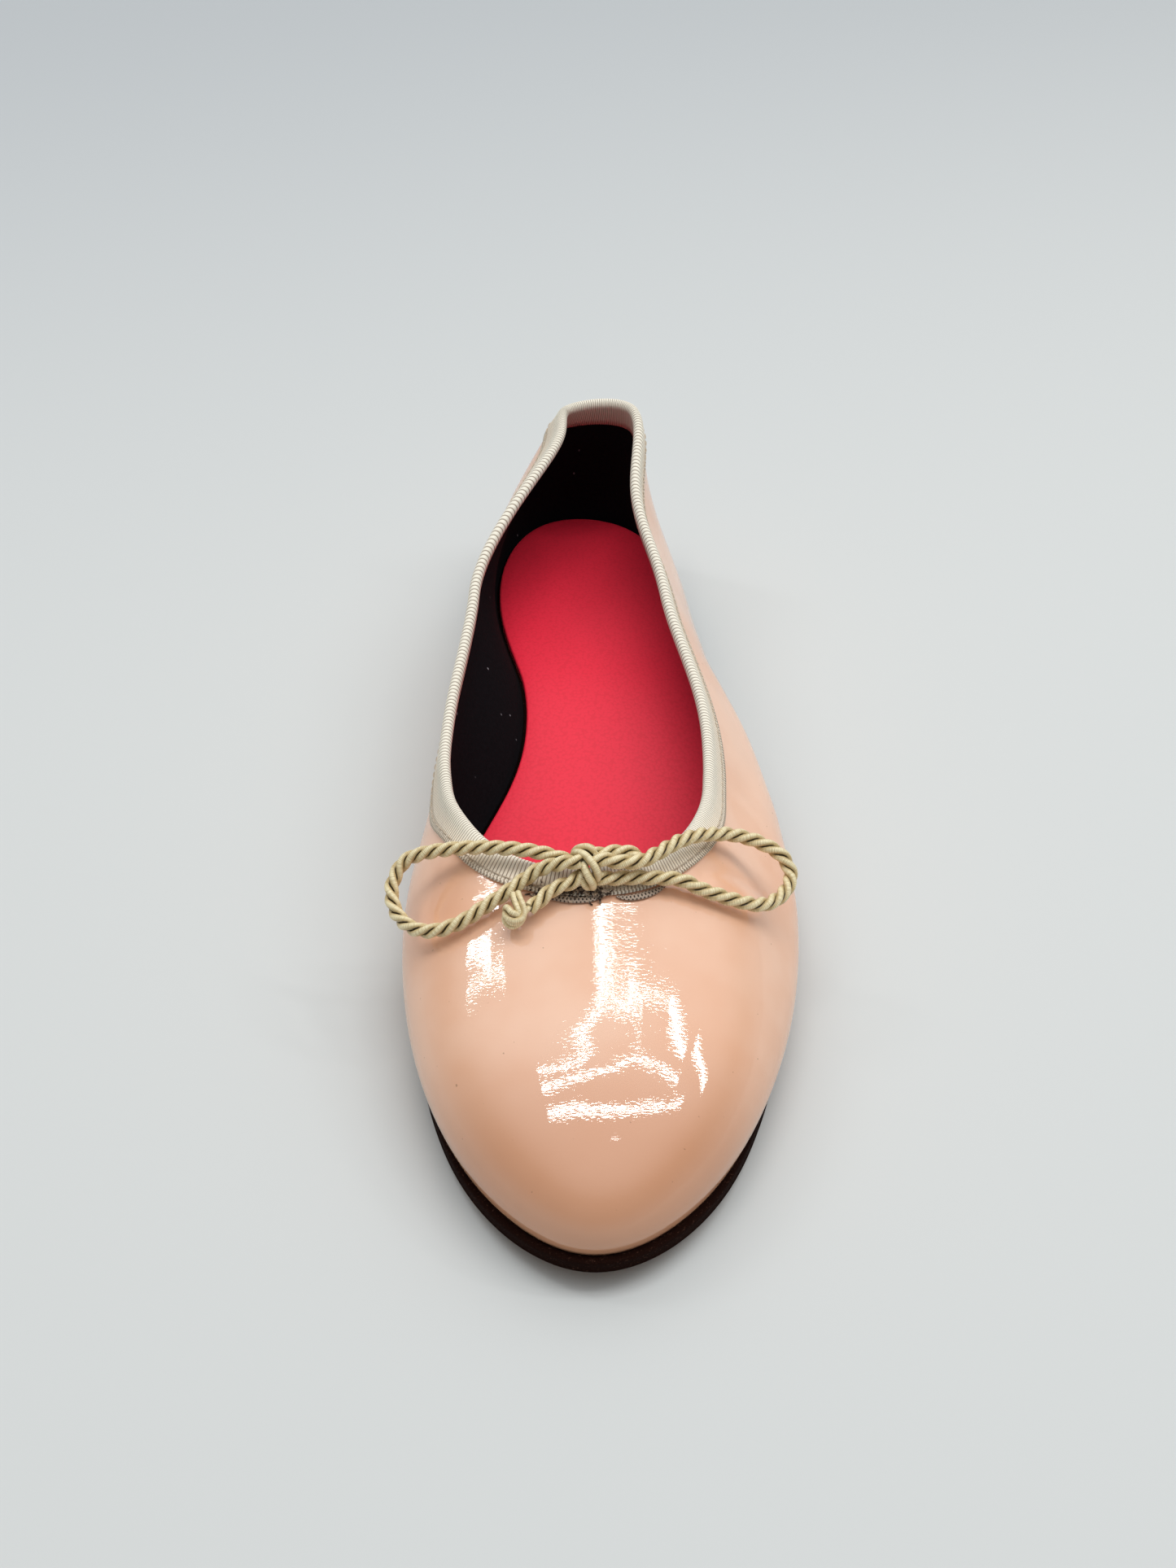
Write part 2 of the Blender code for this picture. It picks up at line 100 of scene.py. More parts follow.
# The upper's ribs, from the back of the heel round the instep side to the toe and back outside
Rib = namedtuple(
    "Rib", "name foot_across foot_along foot_out foot_up rim_across rim_along brow_out brow_down"
)
RIBS = (
    Rib("heel_back", -0.12, 0.984, 0.10, 0.30, 0.14, 0.967, 0.06, 0.30),
    Rib("heel_medial_back", -0.75, 0.960, 0.10, 0.30, -0.33, 0.951, 0.14, 0.30),
    Rib("heel_medial", -1.10, 0.888, 0.10, 0.30, -0.40, 0.914, 0.22, 0.30),
    Rib("seat_medial", -1.10, 0.788, 0.12, 0.32, -0.83, 0.832, 0.16, 0.30),
    Rib("breast_medial", -0.83, 0.684, 0.14, 0.36, -1.26, 0.716, 0.06, 0.30),
    Rib("waist_medial", -0.65, 0.584, 0.22, 0.42, -1.15, 0.608, 0.03, 0.32),
    Rib("forepart_medial", -0.77, 0.484, 0.28, 0.42, -0.945, 0.504, 0.04, 0.34),
    Rib("ball_medial", -0.96, 0.368, 0.34, 0.44, -0.87, 0.420, 0.08, 0.34),
    Rib("toe_medial", -0.97, 0.240, 0.27, 0.46, -0.72, 0.368, 0.34, 0.34),
    Rib("toe_medial_front", -0.71, 0.100, 0.18, 0.52, -0.41, 0.334, 1.00, 0.34),
    Rib("toe_tip", -0.08, 0.006, 0.12, 0.58, 0.00, 0.322, 1.35, 0.36),
    Rib("toe_lateral_front", 0.53, 0.048, 0.14, 0.54, 0.35, 0.333, 1.05, 0.34),
    Rib("toe_lateral", 0.90, 0.144, 0.22, 0.46, 0.58, 0.364, 0.60, 0.34),
    Rib("ball_lateral", 1.08, 0.258, 0.38, 0.44, 0.70, 0.412, 0.22, 0.34),
    Rib("forepart_lateral", 1.12, 0.380, 0.42, 0.42, 0.735, 0.476, 0.14, 0.34),
    Rib("waist_lateral", 1.10, 0.504, 0.36, 0.40, 0.82, 0.560, 0.09, 0.34),
    Rib("breast_lateral", 1.30, 0.628, 0.20, 0.36, 0.86, 0.652, 0.07, 0.32),
    Rib("seat_lateral", 1.20, 0.750, 0.04, 0.32, 0.72, 0.748, 0.04, 0.30),
    Rib("heel_lateral", 1.02, 0.866, 0.00, 0.30, 0.52, 0.844, 0.02, 0.30),
    Rib("heel_lateral_back", 0.60, 0.954, 0.04, 0.30, 0.55, 0.938, 0.03, 0.30),
)
TOE_RIB = 10
RIB_SAMPLES = 81
FINE_COLUMNS = 1200
SPAN_STEPS = 24

# The bow's routes, each point across, behind and above the middle of the throat's edge.
# The first and last points of a loop, and the first of the instep tail, run on into the knot.
KNOT_PLACE = (-0.0010, -0.0060, 0.0034)
TAIL_KNOT_PLACE = (-0.0164, -0.0156, -0.0014)
LOOP_MEDIAL = (
    (-0.0022, -0.0046, 0.0028), (-0.0046, -0.0039, 0.0031), (-0.0080, -0.0029, 0.0034),
    (-0.0117, -0.0017, 0.0036), (-0.0185, -0.0004, 0.0034), (-0.0272, 0.0022, 0.0009),
    (-0.0358, 0.0040, -0.0023), (-0.0413, 0.0043, -0.0053), (-0.0438, 0.0018, -0.0080),
    (-0.0444, -0.0020, -0.0095), (-0.0428, -0.0074, -0.0103), (-0.0390, -0.0124, -0.0093),
    (-0.0340, -0.0146, -0.0077), (-0.0285, -0.0142, -0.0055), (-0.0233, -0.0120, -0.0030),
    (-0.0183, -0.0098, -0.0005), (-0.0150, -0.0078, 0.0009), (-0.0116, -0.0064, 0.0028),
    (-0.0083, -0.0066, 0.0046), (-0.0051, -0.0069, 0.0058), (-0.0022, -0.0068, 0.0059),
)
LOOP_LATERAL = (
    (0.0004, -0.0080, 0.0024), (0.0027, -0.0079, 0.0019), (0.0065, -0.0073, 0.0014),
    (0.0106, -0.0069, 0.0011), (0.0190, -0.0064, 0.0000), (0.0241, -0.0071, -0.0024),
    (0.0312, -0.0074, -0.0054), (0.0363, -0.0064, -0.0079), (0.0400, -0.0043, -0.0092),
    (0.0432, -0.0006, -0.0095), (0.0445, 0.0036, -0.0085), (0.0423, 0.0066, -0.0055),
    (0.0370, 0.0088, -0.0035), (0.0318, 0.0092, -0.0019), (0.0282, 0.0080, -0.0004),
    (0.0236, 0.0048, 0.0024), (0.0192, 0.0013, 0.0041), (0.0145, -0.0030, 0.0049),
    (0.0104, -0.0060, 0.0053), (0.0065, -0.0066, 0.0056), (0.0027, -0.0062, 0.0059),
    (0.0004, -0.0062, 0.0058),
)
TAIL_MEDIAL = (
    (-0.0020, -0.0074, 0.0026), (-0.0042, -0.0089, 0.0018), (-0.0082, -0.0102, 0.0009),
    (-0.0116, -0.0128, -0.0005), (-0.0134, -0.0142, -0.0010),
)
TAIL_LATERAL = (
    (-0.0002, -0.0032, 0.0042), (0.0030, -0.0025, 0.0041), (0.0062, -0.0020, 0.0041),
    (0.0090, -0.0023, 0.0037), (0.0110, -0.0035, 0.0025),
)


# Number helpers

def ease(share):
    """A smooth step from 0 to 1."""
    share = np.clip(share, 0.0, 1.0)
    return share * share * (3.0 - 2.0 * share)


def hermite(t, start, start_slope, end, end_slope):
    return (
        (2 * t**3 - 3 * t**2 + 1) * start
        + (t**3 - 2 * t**2 + t) * start_slope
        + (3 * t**2 - 2 * t**3) * end
        + (t**3 - t**2) * end_slope
    )


def closed_spline(values, turns):
    """A smooth closed curve through one value a rib, read at places counted in ribs."""
    knots = np.asarray(values, float)
    count = len(knots)
    matrix = 4.0 * np.eye(count) + np.roll(np.eye(count), 1, 1) + np.roll(np.eye(count), -1, 1)
    slopes = np.linalg.solve(matrix, 3.0 * (np.roll(knots, -1) - np.roll(knots, 1)))
    low = np.floor(turns).astype(int) % count
    high = (low + 1) % count
    return hermite(turns - np.floor(turns), knots[low], slopes[low], knots[high], slopes[high])


def rib_column(name, turns):
    return closed_spline([getattr(rib, name) for rib in RIBS], turns)


def outward(line):
    """Level unit normals of a closed line, pointing away from its middle."""
    step = np.roll(line, -1, 0) - np.roll(line, 1, 0)
    normal = np.column_stack([step[:, 1], -step[:, 0]])
    normal /= np.linalg.norm(normal, axis=1)[:, None]
    side = np.sum((line - line.mean(0)) * normal)
    return normal if side > 0 else -normal


def unit(vectors):
    return vectors / np.linalg.norm(vectors, axis=-1, keepdims=True)


def run_along(line):
    """How far along a line each of its points lies."""
    return np.concatenate([[0.0], np.cumsum(np.linalg.norm(np.diff(line, axis=0), axis=1))])


def read_line(places, run, line):
    """Points of a line at some places, counted as its run is."""
    return np.column_stack([np.interp(places, run, column) for column in line.T])


def line_length(line):
    return float(run_along(line)[-1])


def link(thing):
    bpy.context.scene.collection.objects.link(thing)


# The last

def half_width(along):
    back = ease((along - NARROW_FROM) / (NARROW_TO - NARROW_FROM))
    return 0.5 * (BALL_WIDTH * (1.0 - back) + SEAT_WIDTH * back)


def sole_underside(along):
    spring = TOE_SPRING * np.maximum((TREAD_FRONT - along) / TREAD_FRONT, 0.0) ** SPRING_POWER
    arch = HEEL_HEIGHT * ease((along - TREAD_BACK) / (ARCH_TOP - TREAD_BACK))
    return spring + arch


def sole_top(along):
    return sole_underside(along) + OUTSOLE_THICKNESS


def topline_height(along):
    throat = ease((THROAT_BACK - along) / (THROAT_BACK - THROAT_FRONT))
    collar = np.clip((along - COLLAR_FROM) / (COLLAR_TO - COLLAR_FROM), 0.0, 1.0) ** COLLAR_POWER
    return SIDE_HEIGHT + (THROAT_HEIGHT - SIDE_HEIGHT) * throat + (COLLAR_HEIGHT - SIDE_HEIGHT) * collar


def foot_line(turns):
    along = rib_column("foot_along", turns)
    return np.column_stack([rib_column("foot_across", turns) * half_width(along), along * LENGTH])


def from_throat(points):
    """Points given from the middle of the throat's edge, in the last's frame."""
    rim_along = RIBS[TOE_RIB].rim_along
    return np.asarray(points, float) + (0.0, rim_along * LENGTH, topline_height(rim_along))


def last_origin():
    """Where the last's own origin lies in the frame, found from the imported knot."""
    low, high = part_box("bow_knot")
    return np.array((low + high) / 2) - from_throat(KNOT_PLACE)


ORIGIN = last_origin()


def throat_drop(turns):
    """How far the throat's edge lies below the tops of the ribs, round the front."""
    return THROAT_DROP * ease((turns - 7.4) / 2.2) * ease((12.9 - turns) / 3.6)


class Skin:
    """The upper's outer face, read by its depth below the topline along each of many ribs."""

    def __init__(self, count):
        self.count = count
        self.turns = np.arange(count) * len(RIBS) / count
        t = np.linspace(0.0, 1.0, RIB_SAMPLES)[:, None, None]
        rim, brow, bulge, foot = self.controls()
        self.points = (
            (1 - t) ** 3 * rim + 3 * t * (1 - t) ** 2 * brow + 3 * t * t * (1 - t) * bulge + t**3 * foot
        )
        round_step = np.roll(self.points, -1, 1) - np.roll(self.points, 1, 1)
        down_step = np.gradient(self.points, axis=0)
        normal = unit(np.cross(round_step, down_step))
        side = np.sum((self.points - self.points.mean((0, 1))) * normal)
        self.normals = normal if side > 0 else -normal
        steps = np.linalg.norm(np.diff(self.points, axis=0), axis=2)
        self.ribs_down = np.vstack([np.zeros(count), np.cumsum(steps, axis=0)])
        self.depths = self.ribs_down - throat_drop(self.turns)

    def controls(self):
        turns = self.turns
        foot = foot_line(turns)
        rim_along = rib_column("rim_along", turns)
        rim_across = rib_column("rim_across", turns) * half_width(rim_along)
        rim = np.column_stack([rim_across, rim_along * LENGTH])
        foot_z = sole_top(foot[:, 1] / LENGTH) + GAP
        rim_z = topline_height(rim_along)
        rise = (rim_z - foot_z)[:, None]
        rim_point = np.column_stack([rim, rim_z])
        foot_point = np.column_stack([foot, foot_z])
        brow_out = outward(rim) * rib_column("brow_out", turns)[:, None]
        foot_out = outward(foot) * rib_column("foot_out", turns)[:, None]
        brow = rise * np.column_stack([brow_out, -rib_column("brow_down", turns)])
        bulge = rise * np.column_stack([foot_out, rib_column("foot_up", turns)])
        return rim_point, rim_point + brow, foot_point + bulge, foot_point

    def length(self):
        return self.depths[-1]

    def read(self, field, depth):
        depth = np.broadcast_to(depth, (self.count,))
        row = np.clip((self.depths <= depth).sum(0) - 1, 0, RIB_SAMPLES - 2)
        rib = np.arange(self.count)
        share = (depth - self.depths[row, rib]) / (self.depths[row + 1, rib] - self.depths[row, rib])
        return field[row, rib] * (1 - share)[:, None] + field[row + 1, rib] * share[:, None]

    def at(self, depth, inward=0.0):
        """A ring of points at a depth below the topline, sunk inward from the outer face."""
        inward = np.broadcast_to(inward, (self.count,))[:, None]
        return self.read(self.points, depth) - inward * unit(self.read(self.normals, depth))

    def over(self, turn, depth, proud=0.0):
        """A point of the outer face or above it, at a place in ribs and metres down the rib."""
        rib = int(round(turn * self.count / len(RIBS))) % self.count
        fields = (self.points, self.normals)
        spot, normal = (read_line([depth], self.ribs_down[:, rib], field[:, rib])[0] for field in fields)
        return spot + proud * unit(normal)

    def crest(self, inward, over):
        """A ring past the upper's edge: sunk inward and carried on over the topline."""
        rise = unit(self.at(0.0) - self.at(0.0004))
        over = np.broadcast_to(over, (self.count,))[:, None]
        return self.at(0.0, inward) + over * rise


# Shader helpers

class Value:
    """A shader number. Arithmetic on it adds Math nodes to its tree."""

    def __init__(self, nodes, socket):
        self.nodes = nodes
        self.socket = socket

    def __add__(self, other):
        return self.nodes.maths("ADD", self, other)

    def __radd__(self, other):
        return self.nodes.maths("ADD", other, self)

    def __sub__(self, other):
        return self.nodes.maths("SUBTRACT", self, other)

    def __rsub__(self, other):
        return self.nodes.maths("SUBTRACT", other, self)

    def __mul__(self, other):
        return self.nodes.maths("MULTIPLY", self, other)

    def __rmul__(self, other):
        return self.nodes.maths("MULTIPLY", other, self)

    def __truediv__(self, other):
        return self.nodes.maths("DIVIDE", self, other)

    def __rtruediv__(self, other):
        return self.nodes.maths("DIVIDE", other, self)


class Nodes:
    """A node tree, and the short calls that build it."""

    def __init__(self, tree):
        self.tree = tree

    def node(self, kind, settings=None, sockets=None):
        """Adds a node, sets it up, and fills or links its input sockets, named or counted."""
        node = self.tree.nodes.new(kind)
        for name, value in (settings or {}).items():
            setattr(node, name, value)
        for key, value in (sockets or {}).items():
            self.feed(node.inputs[key], value)
        return node

    def feed(self, socket, value):
        if isinstance(value, Value):
            self.tree.links.new(value.socket, socket)
        elif isinstance(value, bpy.types.NodeSocket):
            self.tree.links.new(value, socket)
        elif socket.type == "RGBA":
            socket.default_value = (*value, 1.0)
        else:
            socket.default_value = value

    def maths(self, operation, *terms):
        node = self.node("ShaderNodeMath", {"operation": operation}, dict(enumerate(terms)))
        return Value(self, node.outputs[0])

    def step(self, value, low, high, bottom=0.0, top=1.0):
        """Bottom below low, top above high and a smooth climb between them."""
        sockets = {"Value": value, "From Min": low, "From Max": high, "To Min": bottom, "To Max": top}
        node = self.node("ShaderNodeMapRange", {"interpolation_type": "SMOOTHSTEP"}, sockets)
        return Value(self, node.outputs[0])

    def axes(self, vector):
        parts = self.node("ShaderNodeSeparateXYZ", None, {0: vector})
        return [Value(self, part) for part in parts.outputs]


class Finish(Nodes):
    """A material of this name."""

    def __init__(self, name):
        self.material = bpy.data.materials.new(name)
        self.material.use_nodes = True
        super().__init__(self.material.node_tree)
        self.shader = self.tree.nodes["Principled BSDF"]

    def set(self, **sockets):
        """Sets or links the shader's own sockets; an underscore stands for a space."""
        for name, value in sockets.items():
            self.feed(self.shader.inputs[name.replace("_", " ")], value)

    def position(self):
        return self.node("ShaderNodeTexCoord").outputs["Object"]

    def chart(self):
        """The two numbers of the piece's own map."""
        return self.axes(self.node("ShaderNodeUVMap", {"uv_map": "chart"}).outputs[0])[:2]

    def stretched(self, vector, factors):
        node = self.node("ShaderNodeVectorMath", {"operation": "MULTIPLY"}, {0: vector, 1: factors})
        return node.outputs[0]

    def noise(self, vector, size, detail=2.0, roughness=0.5):
        """Cloudy noise around 0.5, whose spots are about as wide as size."""
        sockets = {"Vector": vector, "Scale": 1.0 / size, "Detail": detail, "Roughness": roughness}
        return Value(self, self.node("ShaderNodeTexNoise", None, sockets).outputs[0])

    def cells(self, vector, size):
        sockets = {"Vector": vector, "Scale": 1.0 / size}
        return Value(self, self.node("ShaderNodeTexVoronoi", None, sockets).outputs["Distance"])

    def mix(self, share, first, second):
        sockets = {0: share, 6: first, 7: second}
        return self.node("ShaderNodeMix", {"data_type": "RGBA"}, sockets).outputs[2]

    def bump(self, height):
        """A normal for a height given in metres."""
        sockets = {"Height": height, "Strength": 1.0, "Distance": 1.0}
        return self.node("ShaderNodeBump", None, sockets).outputs[0]


# Mesh helpers

def make_piece(name, points, faces, finish, slot, *nodes, chart=None):
    """Link a mesh given in the last's frame, with its finish, body, CAD nodes and chart. The slot is not
    used.
    """
    mesh = bpy.data.meshes.new(name)
    mesh.from_pydata((np.asarray(points) + ORIGIN).tolist(), [], faces)
    if chart is not None:
        layer = mesh.uv_layers.new(name="chart")
        corners = np.empty(len(mesh.loops), np.int32)
        mesh.loops.foreach_get("vertex_index", corners)
        layer.data.foreach_set("uv", np.asarray(chart, np.float32)[corners].ravel())
    bm = bmesh.new()
    bm.from_mesh(mesh)
    bmesh.ops.recalc_face_normals(bm, faces=bm.faces)
    bm.to_mesh(mesh)
    bm.free()
    mesh.shade_smooth()
    mesh.materials.append(finish.material)
    piece = bpy.data.objects.new(name, mesh)
    link(piece)
    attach(piece, BODY)
    if nodes:
        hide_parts(*nodes)
    return piece


def band_faces(rings, columns, base=0, closed=False):
    """Faces from each ring of points to the next, and from the last to the first if closed."""
    faces = []
    for row in range(rings if closed else rings - 1):
        low = base + row * columns
        high = base + (row + 1) % rings * columns
        for i in range(columns):
            j = (i + 1) % columns
            faces.append((low + i, low + j, high + j, high + i))
    return faces


def hose(name, rings, finish, slot, *nodes, chart=None):
    """A piece made of rings, the last joined to the first."""
    faces = band_faces(len(rings), len(rings[0]), closed=True)
    return make_piece(name, np.vstack(rings), faces, finish, slot, *nodes, chart=chart)


def frames_along(path):
    """Unit tangents, and normals that turn as little as they can, along an open path."""
    tangents = unit(np.gradient(path, axis=0))
    normal = np.cross(tangents[0], (0.3, 0.2, 1.0))
    normals = []
    for tangent in tangents:
        normal = normal - tangent * normal.dot(tangent)
        normal = normal / np.linalg.norm(normal)
        normals.append(normal)
    return tangents, np.array(normals)


class Tubes:
    """Gathers round tubes, closed at both ends, into one mesh."""

    def __init__(self, sides):
        self.sides = sides
        self.points = []
        self.faces = []
        self.chart = []
        self.count = 0

    def add(self, path, radius, squeeze=1.0, facing=None, along=None):
        """A tube along a path. Its radius is a number or one per point. Its chart says how far along
        it a point lies, unless the caller measures that on another line, and how far round."""
        tangents, normals = frames_along(path)
        if facing is not None:
            normals = unit(facing - tangents * np.sum(facing * tangents, 1)[:, None])
        across = np.cross(tangents, normals)
        rings = len(path)
        radius = np.broadcast_to(radius, (rings,))[:, None, None]
        angle = np.linspace(0.0, math.tau, self.sides, endpoint=False)
        turn = angle[None, :, None]
        ring = np.cos(turn) * normals[:, None] + squeeze * np.sin(turn) * across[:, None]
        points = path[:, None] + radius * ring
        self.points += [points.reshape(-1, 3), path[:1], path[-1:]]
        along = run_along(path) * 1000.0 if along is None else along
        share = 1.0 - np.abs(1.0 - angle / math.pi)
        grid = np.stack(np.broadcast_arrays(along[:, None], share[None]), -1)
        self.chart += [grid.reshape(-1, 2), [[0.0, 0.0]], [[line_length(path) * 1000.0, 0.0]]]
        self.faces += band_faces(rings, self.sides, self.count)
        first = self.count + rings * self.sides
        final = first - self.sides
        for i in range(self.sides):
            j = (i + 1) % self.sides
            self.faces.append((self.count + j, self.count + i, first))
            self.faces.append((final + i, final + j, first + 1))
        self.count = first + 2

    def piece(self, name, finish, slot, *nodes):
        points, chart = np.vstack(self.points), np.vstack(self.chart)
        return make_piece(name, points, self.faces, finish, slot, *nodes, chart=chart)


def smooth_route(points, spacing):
    """Points read at even spacing from a smooth curve through a route's own points."""
    knots = np.asarray(points, float)
    slopes = np.gradient(knots, axis=0)
    t = np.linspace(0.0, 1.0, SPAN_STEPS, endpoint=False)[:, None]
    spans = [hermite(t, knots[k], slopes[k], knots[k + 1], slopes[k + 1]) for k in range(len(knots) - 1)]
    fine = np.vstack(spans + [knots[-1:]])
    run = run_along(fine)
    return read_line(np.linspace(0.0, run[-1], max(3, round(run[-1] / spacing) + 1)), run, fine)


# Settings that a user would change

LOOK_DOWN = 0.760


def length_setting(name, description, default):
    return bpy.props.FloatProperty(
        name=name, description=description, default=default, min=0.0, unit="LENGTH", precision=5
    )


def colour_setting(name, description, default):
    return bpy.props.FloatVectorProperty(
        name=name, description=description, default=default, min=0.0, max=1.0, size=3, subtype="COLOR"
    )


class UpperSettings(bpy.types.PropertyGroup):
    patent: colour_setting("Patent", "Colour of the patent leather", (0.96, 0.60, 0.42))
    shade: colour_setting("Shade", "Its warmer, darker clouds", (0.86, 0.43, 0.245))
    lining: colour_setting("Lining", "Colour of the brushed lining", (0.0025, 0.0022, 0.0028))
    shell: length_setting("Shell", "Thickness of the patent leather", 0.0009)
    ripple: length_setting("Ripple", "Height of the leather's slow ripples", 0.000014)


class RibbonSettings(bpy.types.PropertyGroup):
    thread: colour_setting("Thread", "Colour of the ribbon over its fold", (1.0, 0.95, 0.81))
    # Painted shade: the flat leaf is painted a little darker than the fold, for the shade it lies in.
    leaf: colour_setting("Leaf", "Colour of the ribbon where it lies flat", (1.0, 0.90, 0.74))
    # Painted shade: the dark colour painted between two ribs for the shade in the grooves; the stitch line's
    # painted shade and the selvedge's dots use it too.
    painted_groove_shade: colour_setting("Groove", "Colour between two ribs", (0.25, 0.165, 0.105))
    rib_pitch: length_setting("Rib pitch", "Distance between two ribs along the edge", 0.00090)
    rib_height: length_setting("Rib height", "How far the ribs stand out", 0.00010)
    inside: length_setting("Inner leaf", "Width of the leaf inside, at the heel", 0.0062)
    half_fold: length_setting("Half fold", "Half the width of the fold", 0.00135)
    stitch_line: length_setting("Stitch line", "Distance of the stitches from the leaf's edge", 0.0014)


class BowSettings(bpy.types.PropertyGroup):
    silk: colour_setting("Silk", "Colour of the cord", (1.0, 0.88, 0.56))
    # Painted shade: the dark colour painted deep between the cord's strands.
    shade: colour_setting("Shade", "Colour deep between its threads", (0.045, 0.026, 0.008))
    diameter: length_setting("Diameter", "Diameter of the twisted cord", 0.0034)
    strand: length_setting("Strand", "Radius of one strand", 0.00080)
    lay: length_setting("Lay", "Length of one full turn of a strand", 0.0110)
    thread: length_setting("Thread", "Width of the threads wound round a strand", 0.00028)


class InsoleSettings(bpy.types.PropertyGroup):
    red: colour_setting("Red", "Colour of the insole leather", (1.0, 0.024, 0.060))
    deep: colour_setting("Deep", "Colour in its pores", (0.72, 0.006, 0.024))
    grain: length_setting("Grain", "Size of its pebbles", 0.0008)


class SoleSettings(bpy.types.PropertyGroup):
    leather: colour_setting("Leather", "Colour of the sole's edge", (0.014, 0.0045, 0.0028))
    fibre: colour_setting("Fibre", "Colour of its loose fibres", (0.24, 0.12, 0.08))
    tread: colour_setting("Tread", "Colour of the sole's underside", (0.30, 0.17, 0.095))
    lip: length_setting("Lip", "Height of the thin lip below the edge", 0.0007)


class StageSettings(bpy.types.PropertyGroup):
    floor: colour_setting("Floor", "Colour of the floor", (0.69, 0.71, 0.70))
    # Painted shade: the floor is painted darker behind the shoe and towards its left, where less light
    # falls.
    far_floor_painted_shade: colour_setting("Far floor", "Colour of the floor behind the shoe", (0.57, 0.60, 0.615))
    focal: bpy.props.FloatProperty(name="Focal length", description="In pixels of the photo", default=2400.0)
    pitch: bpy.props.FloatProperty(
        name="Pitch", description="How far the camera looks down", default=LOOK_DOWN, subtype="ANGLE"
    )
    yaw: bpy.props.FloatProperty(name="Yaw", description="Its turn", default=-0.002, subtype="ANGLE")
    roll: bpy.props.FloatProperty(name="Roll", description="Its roll", default=0.004, subtype="ANGLE")
    spot: bpy.props.FloatVectorProperty(
        name="Camera", description="Its place in the last's frame", default=(-0.001466, -0.2188, 0.3493),
        size=3, subtype="TRANSLATION", unit="LENGTH",
    )


# Upper and lining

UPPER_COLUMNS = 480
UPPER_ROWS = 110
SHELL_ROWS = 8
LINING_COLUMNS = 320
LINING_ROWS = 56
LINING_CLEAR = 0.00005
RIPPLE_SIZE = 0.011
TOP_FADE = 0.06
FOOT_FADE = 0.05

Crease = namedtuple("Crease", "name height width places")
CREASES = (
    Crease("throat_lateral", -0.00030, 0.0016, ((11.6, 0.009), (12.1, 0.013), (12.5, 0.019), (12.8, 0.024))),
    Crease("throat_lateral_ridge", 0.00030, 0.0020, ((11.7, 0.013), (12.1, 0.018), (12.4, 0.024))),
    Crease("throat_medial", -0.00022, 0.0018, ((8.9, 0.016), (8.5, 0.020), (8.0, 0.024), (7.6, 0.027))),
    Crease("flex_first", -0.00003, 0.0040, ((8.9, 0.036), (9.6, 0.044), (10.3, 0.044), (11.1, 0.040))),
    Crease("flex_second", 0.000022, 0.0036, ((9.2, 0.050), (9.9, 0.052), (10.5, 0.050), (11.1, 0.052))),
    Crease("flex_third", -0.000018, 0.0034, ((9.2, 0.059), (10.0, 0.061), (10.8, 0.059))),
    Crease("waist_lateral", -0.00035, 0.0050, ((14.2, 0.016), (15.0, 0.020), (15.8, 0.018))),
    Crease("waist_medial", -0.00030, 0.0050, ((5.8, 0.014), (5.2, 0.019), (4.6, 0.017))),
)


def crease_height(points, skin):
    """How far the creases lift or sink each point of the outer face."""
    height = np.zeros(points.shape[:-1])
    for crease in CREASES:
        route = smooth_route([skin.over(*place) for place in crease.places], crease.width / 2)
        gap = np.full(points.shape[:-1], np.inf)
        for spot in route:
            gap = np.minimum(gap, np.linalg.norm(points - spot, axis=-1))
        height += crease.height * np.exp(-((gap / crease.width) ** 2))
    return height


def ripples(points, size):
    """Slow waves of the leather, from -1 to 1, the same in every run."""
    flat = points.reshape(-1, 3) / size
    values = [noise.noise(Vector(point)) for point in flat]
    return np.array(values).reshape(points.shape[:-1])


def patent_finish(settings):
    finish = Finish("patent_leather")
    spot = finish.position()
    cloud = finish.step(finish.noise(spot, 0.030, 3.0, 0.55), 0.35, 0.72)
    colour = finish.mix(cloud * 0.55, settings.patent, settings.shade)
    # Painted shade: the patent is painted darker towards the front of the toe, where less light reaches it.
    front = finish.step(finish.axes(spot)[1], -0.078, -0.108)
    colour = finish.mix(front * 0.85, colour, (0.70, 0.34, 0.19))
    speck = finish.step(finish.noise(spot, 0.0012, 1.0), 0.225, 0.19)
    colour = finish.mix(speck * 0.5, colour, (0.24, 0.10, 0.05))
    grain = finish.noise(finish.stretched(spot, (0.42, 1.0, 1.0)), 0.00050, 1.0)
    wave = finish.noise(spot, 0.0050)
    normal = finish.bump(grain * 0.0000085 + wave * 0.000020)
    finish.set(Base_Color=colour, Roughness=0.03, Normal=normal, Specular_IOR_Level=0.85)
    return finish


def lining_finish(settings):
    finish = Finish("brushed_lining")
    spot = finish.position()
    nap = finish.noise(spot, 0.0009, 3.0, 0.6)
    dust = finish.step(finish.cells(finish.stretched(spot, (1.0, 1.0, 0.6)), 0.0045), 0.075, 0.035)
    pick = finish.step(finish.noise(spot, 0.012, 1.0), 0.42, 0.56)
    colour = finish.mix(nap, settings.lining, (0.009, 0.008, 0.010))
    colour = finish.mix(dust * pick * 0.7, colour, (0.45, 0.45, 0.48))
    finish.set(Base_Color=colour, Roughness=1.0, Specular_IOR_Level=0.1, Normal=finish.bump(nap * 0.0001))
    return finish


def keep_over_sole(ring):
    ring[:, 2] = np.maximum(ring[:, 2], sole_top(ring[:, 1] / LENGTH) + GAP)


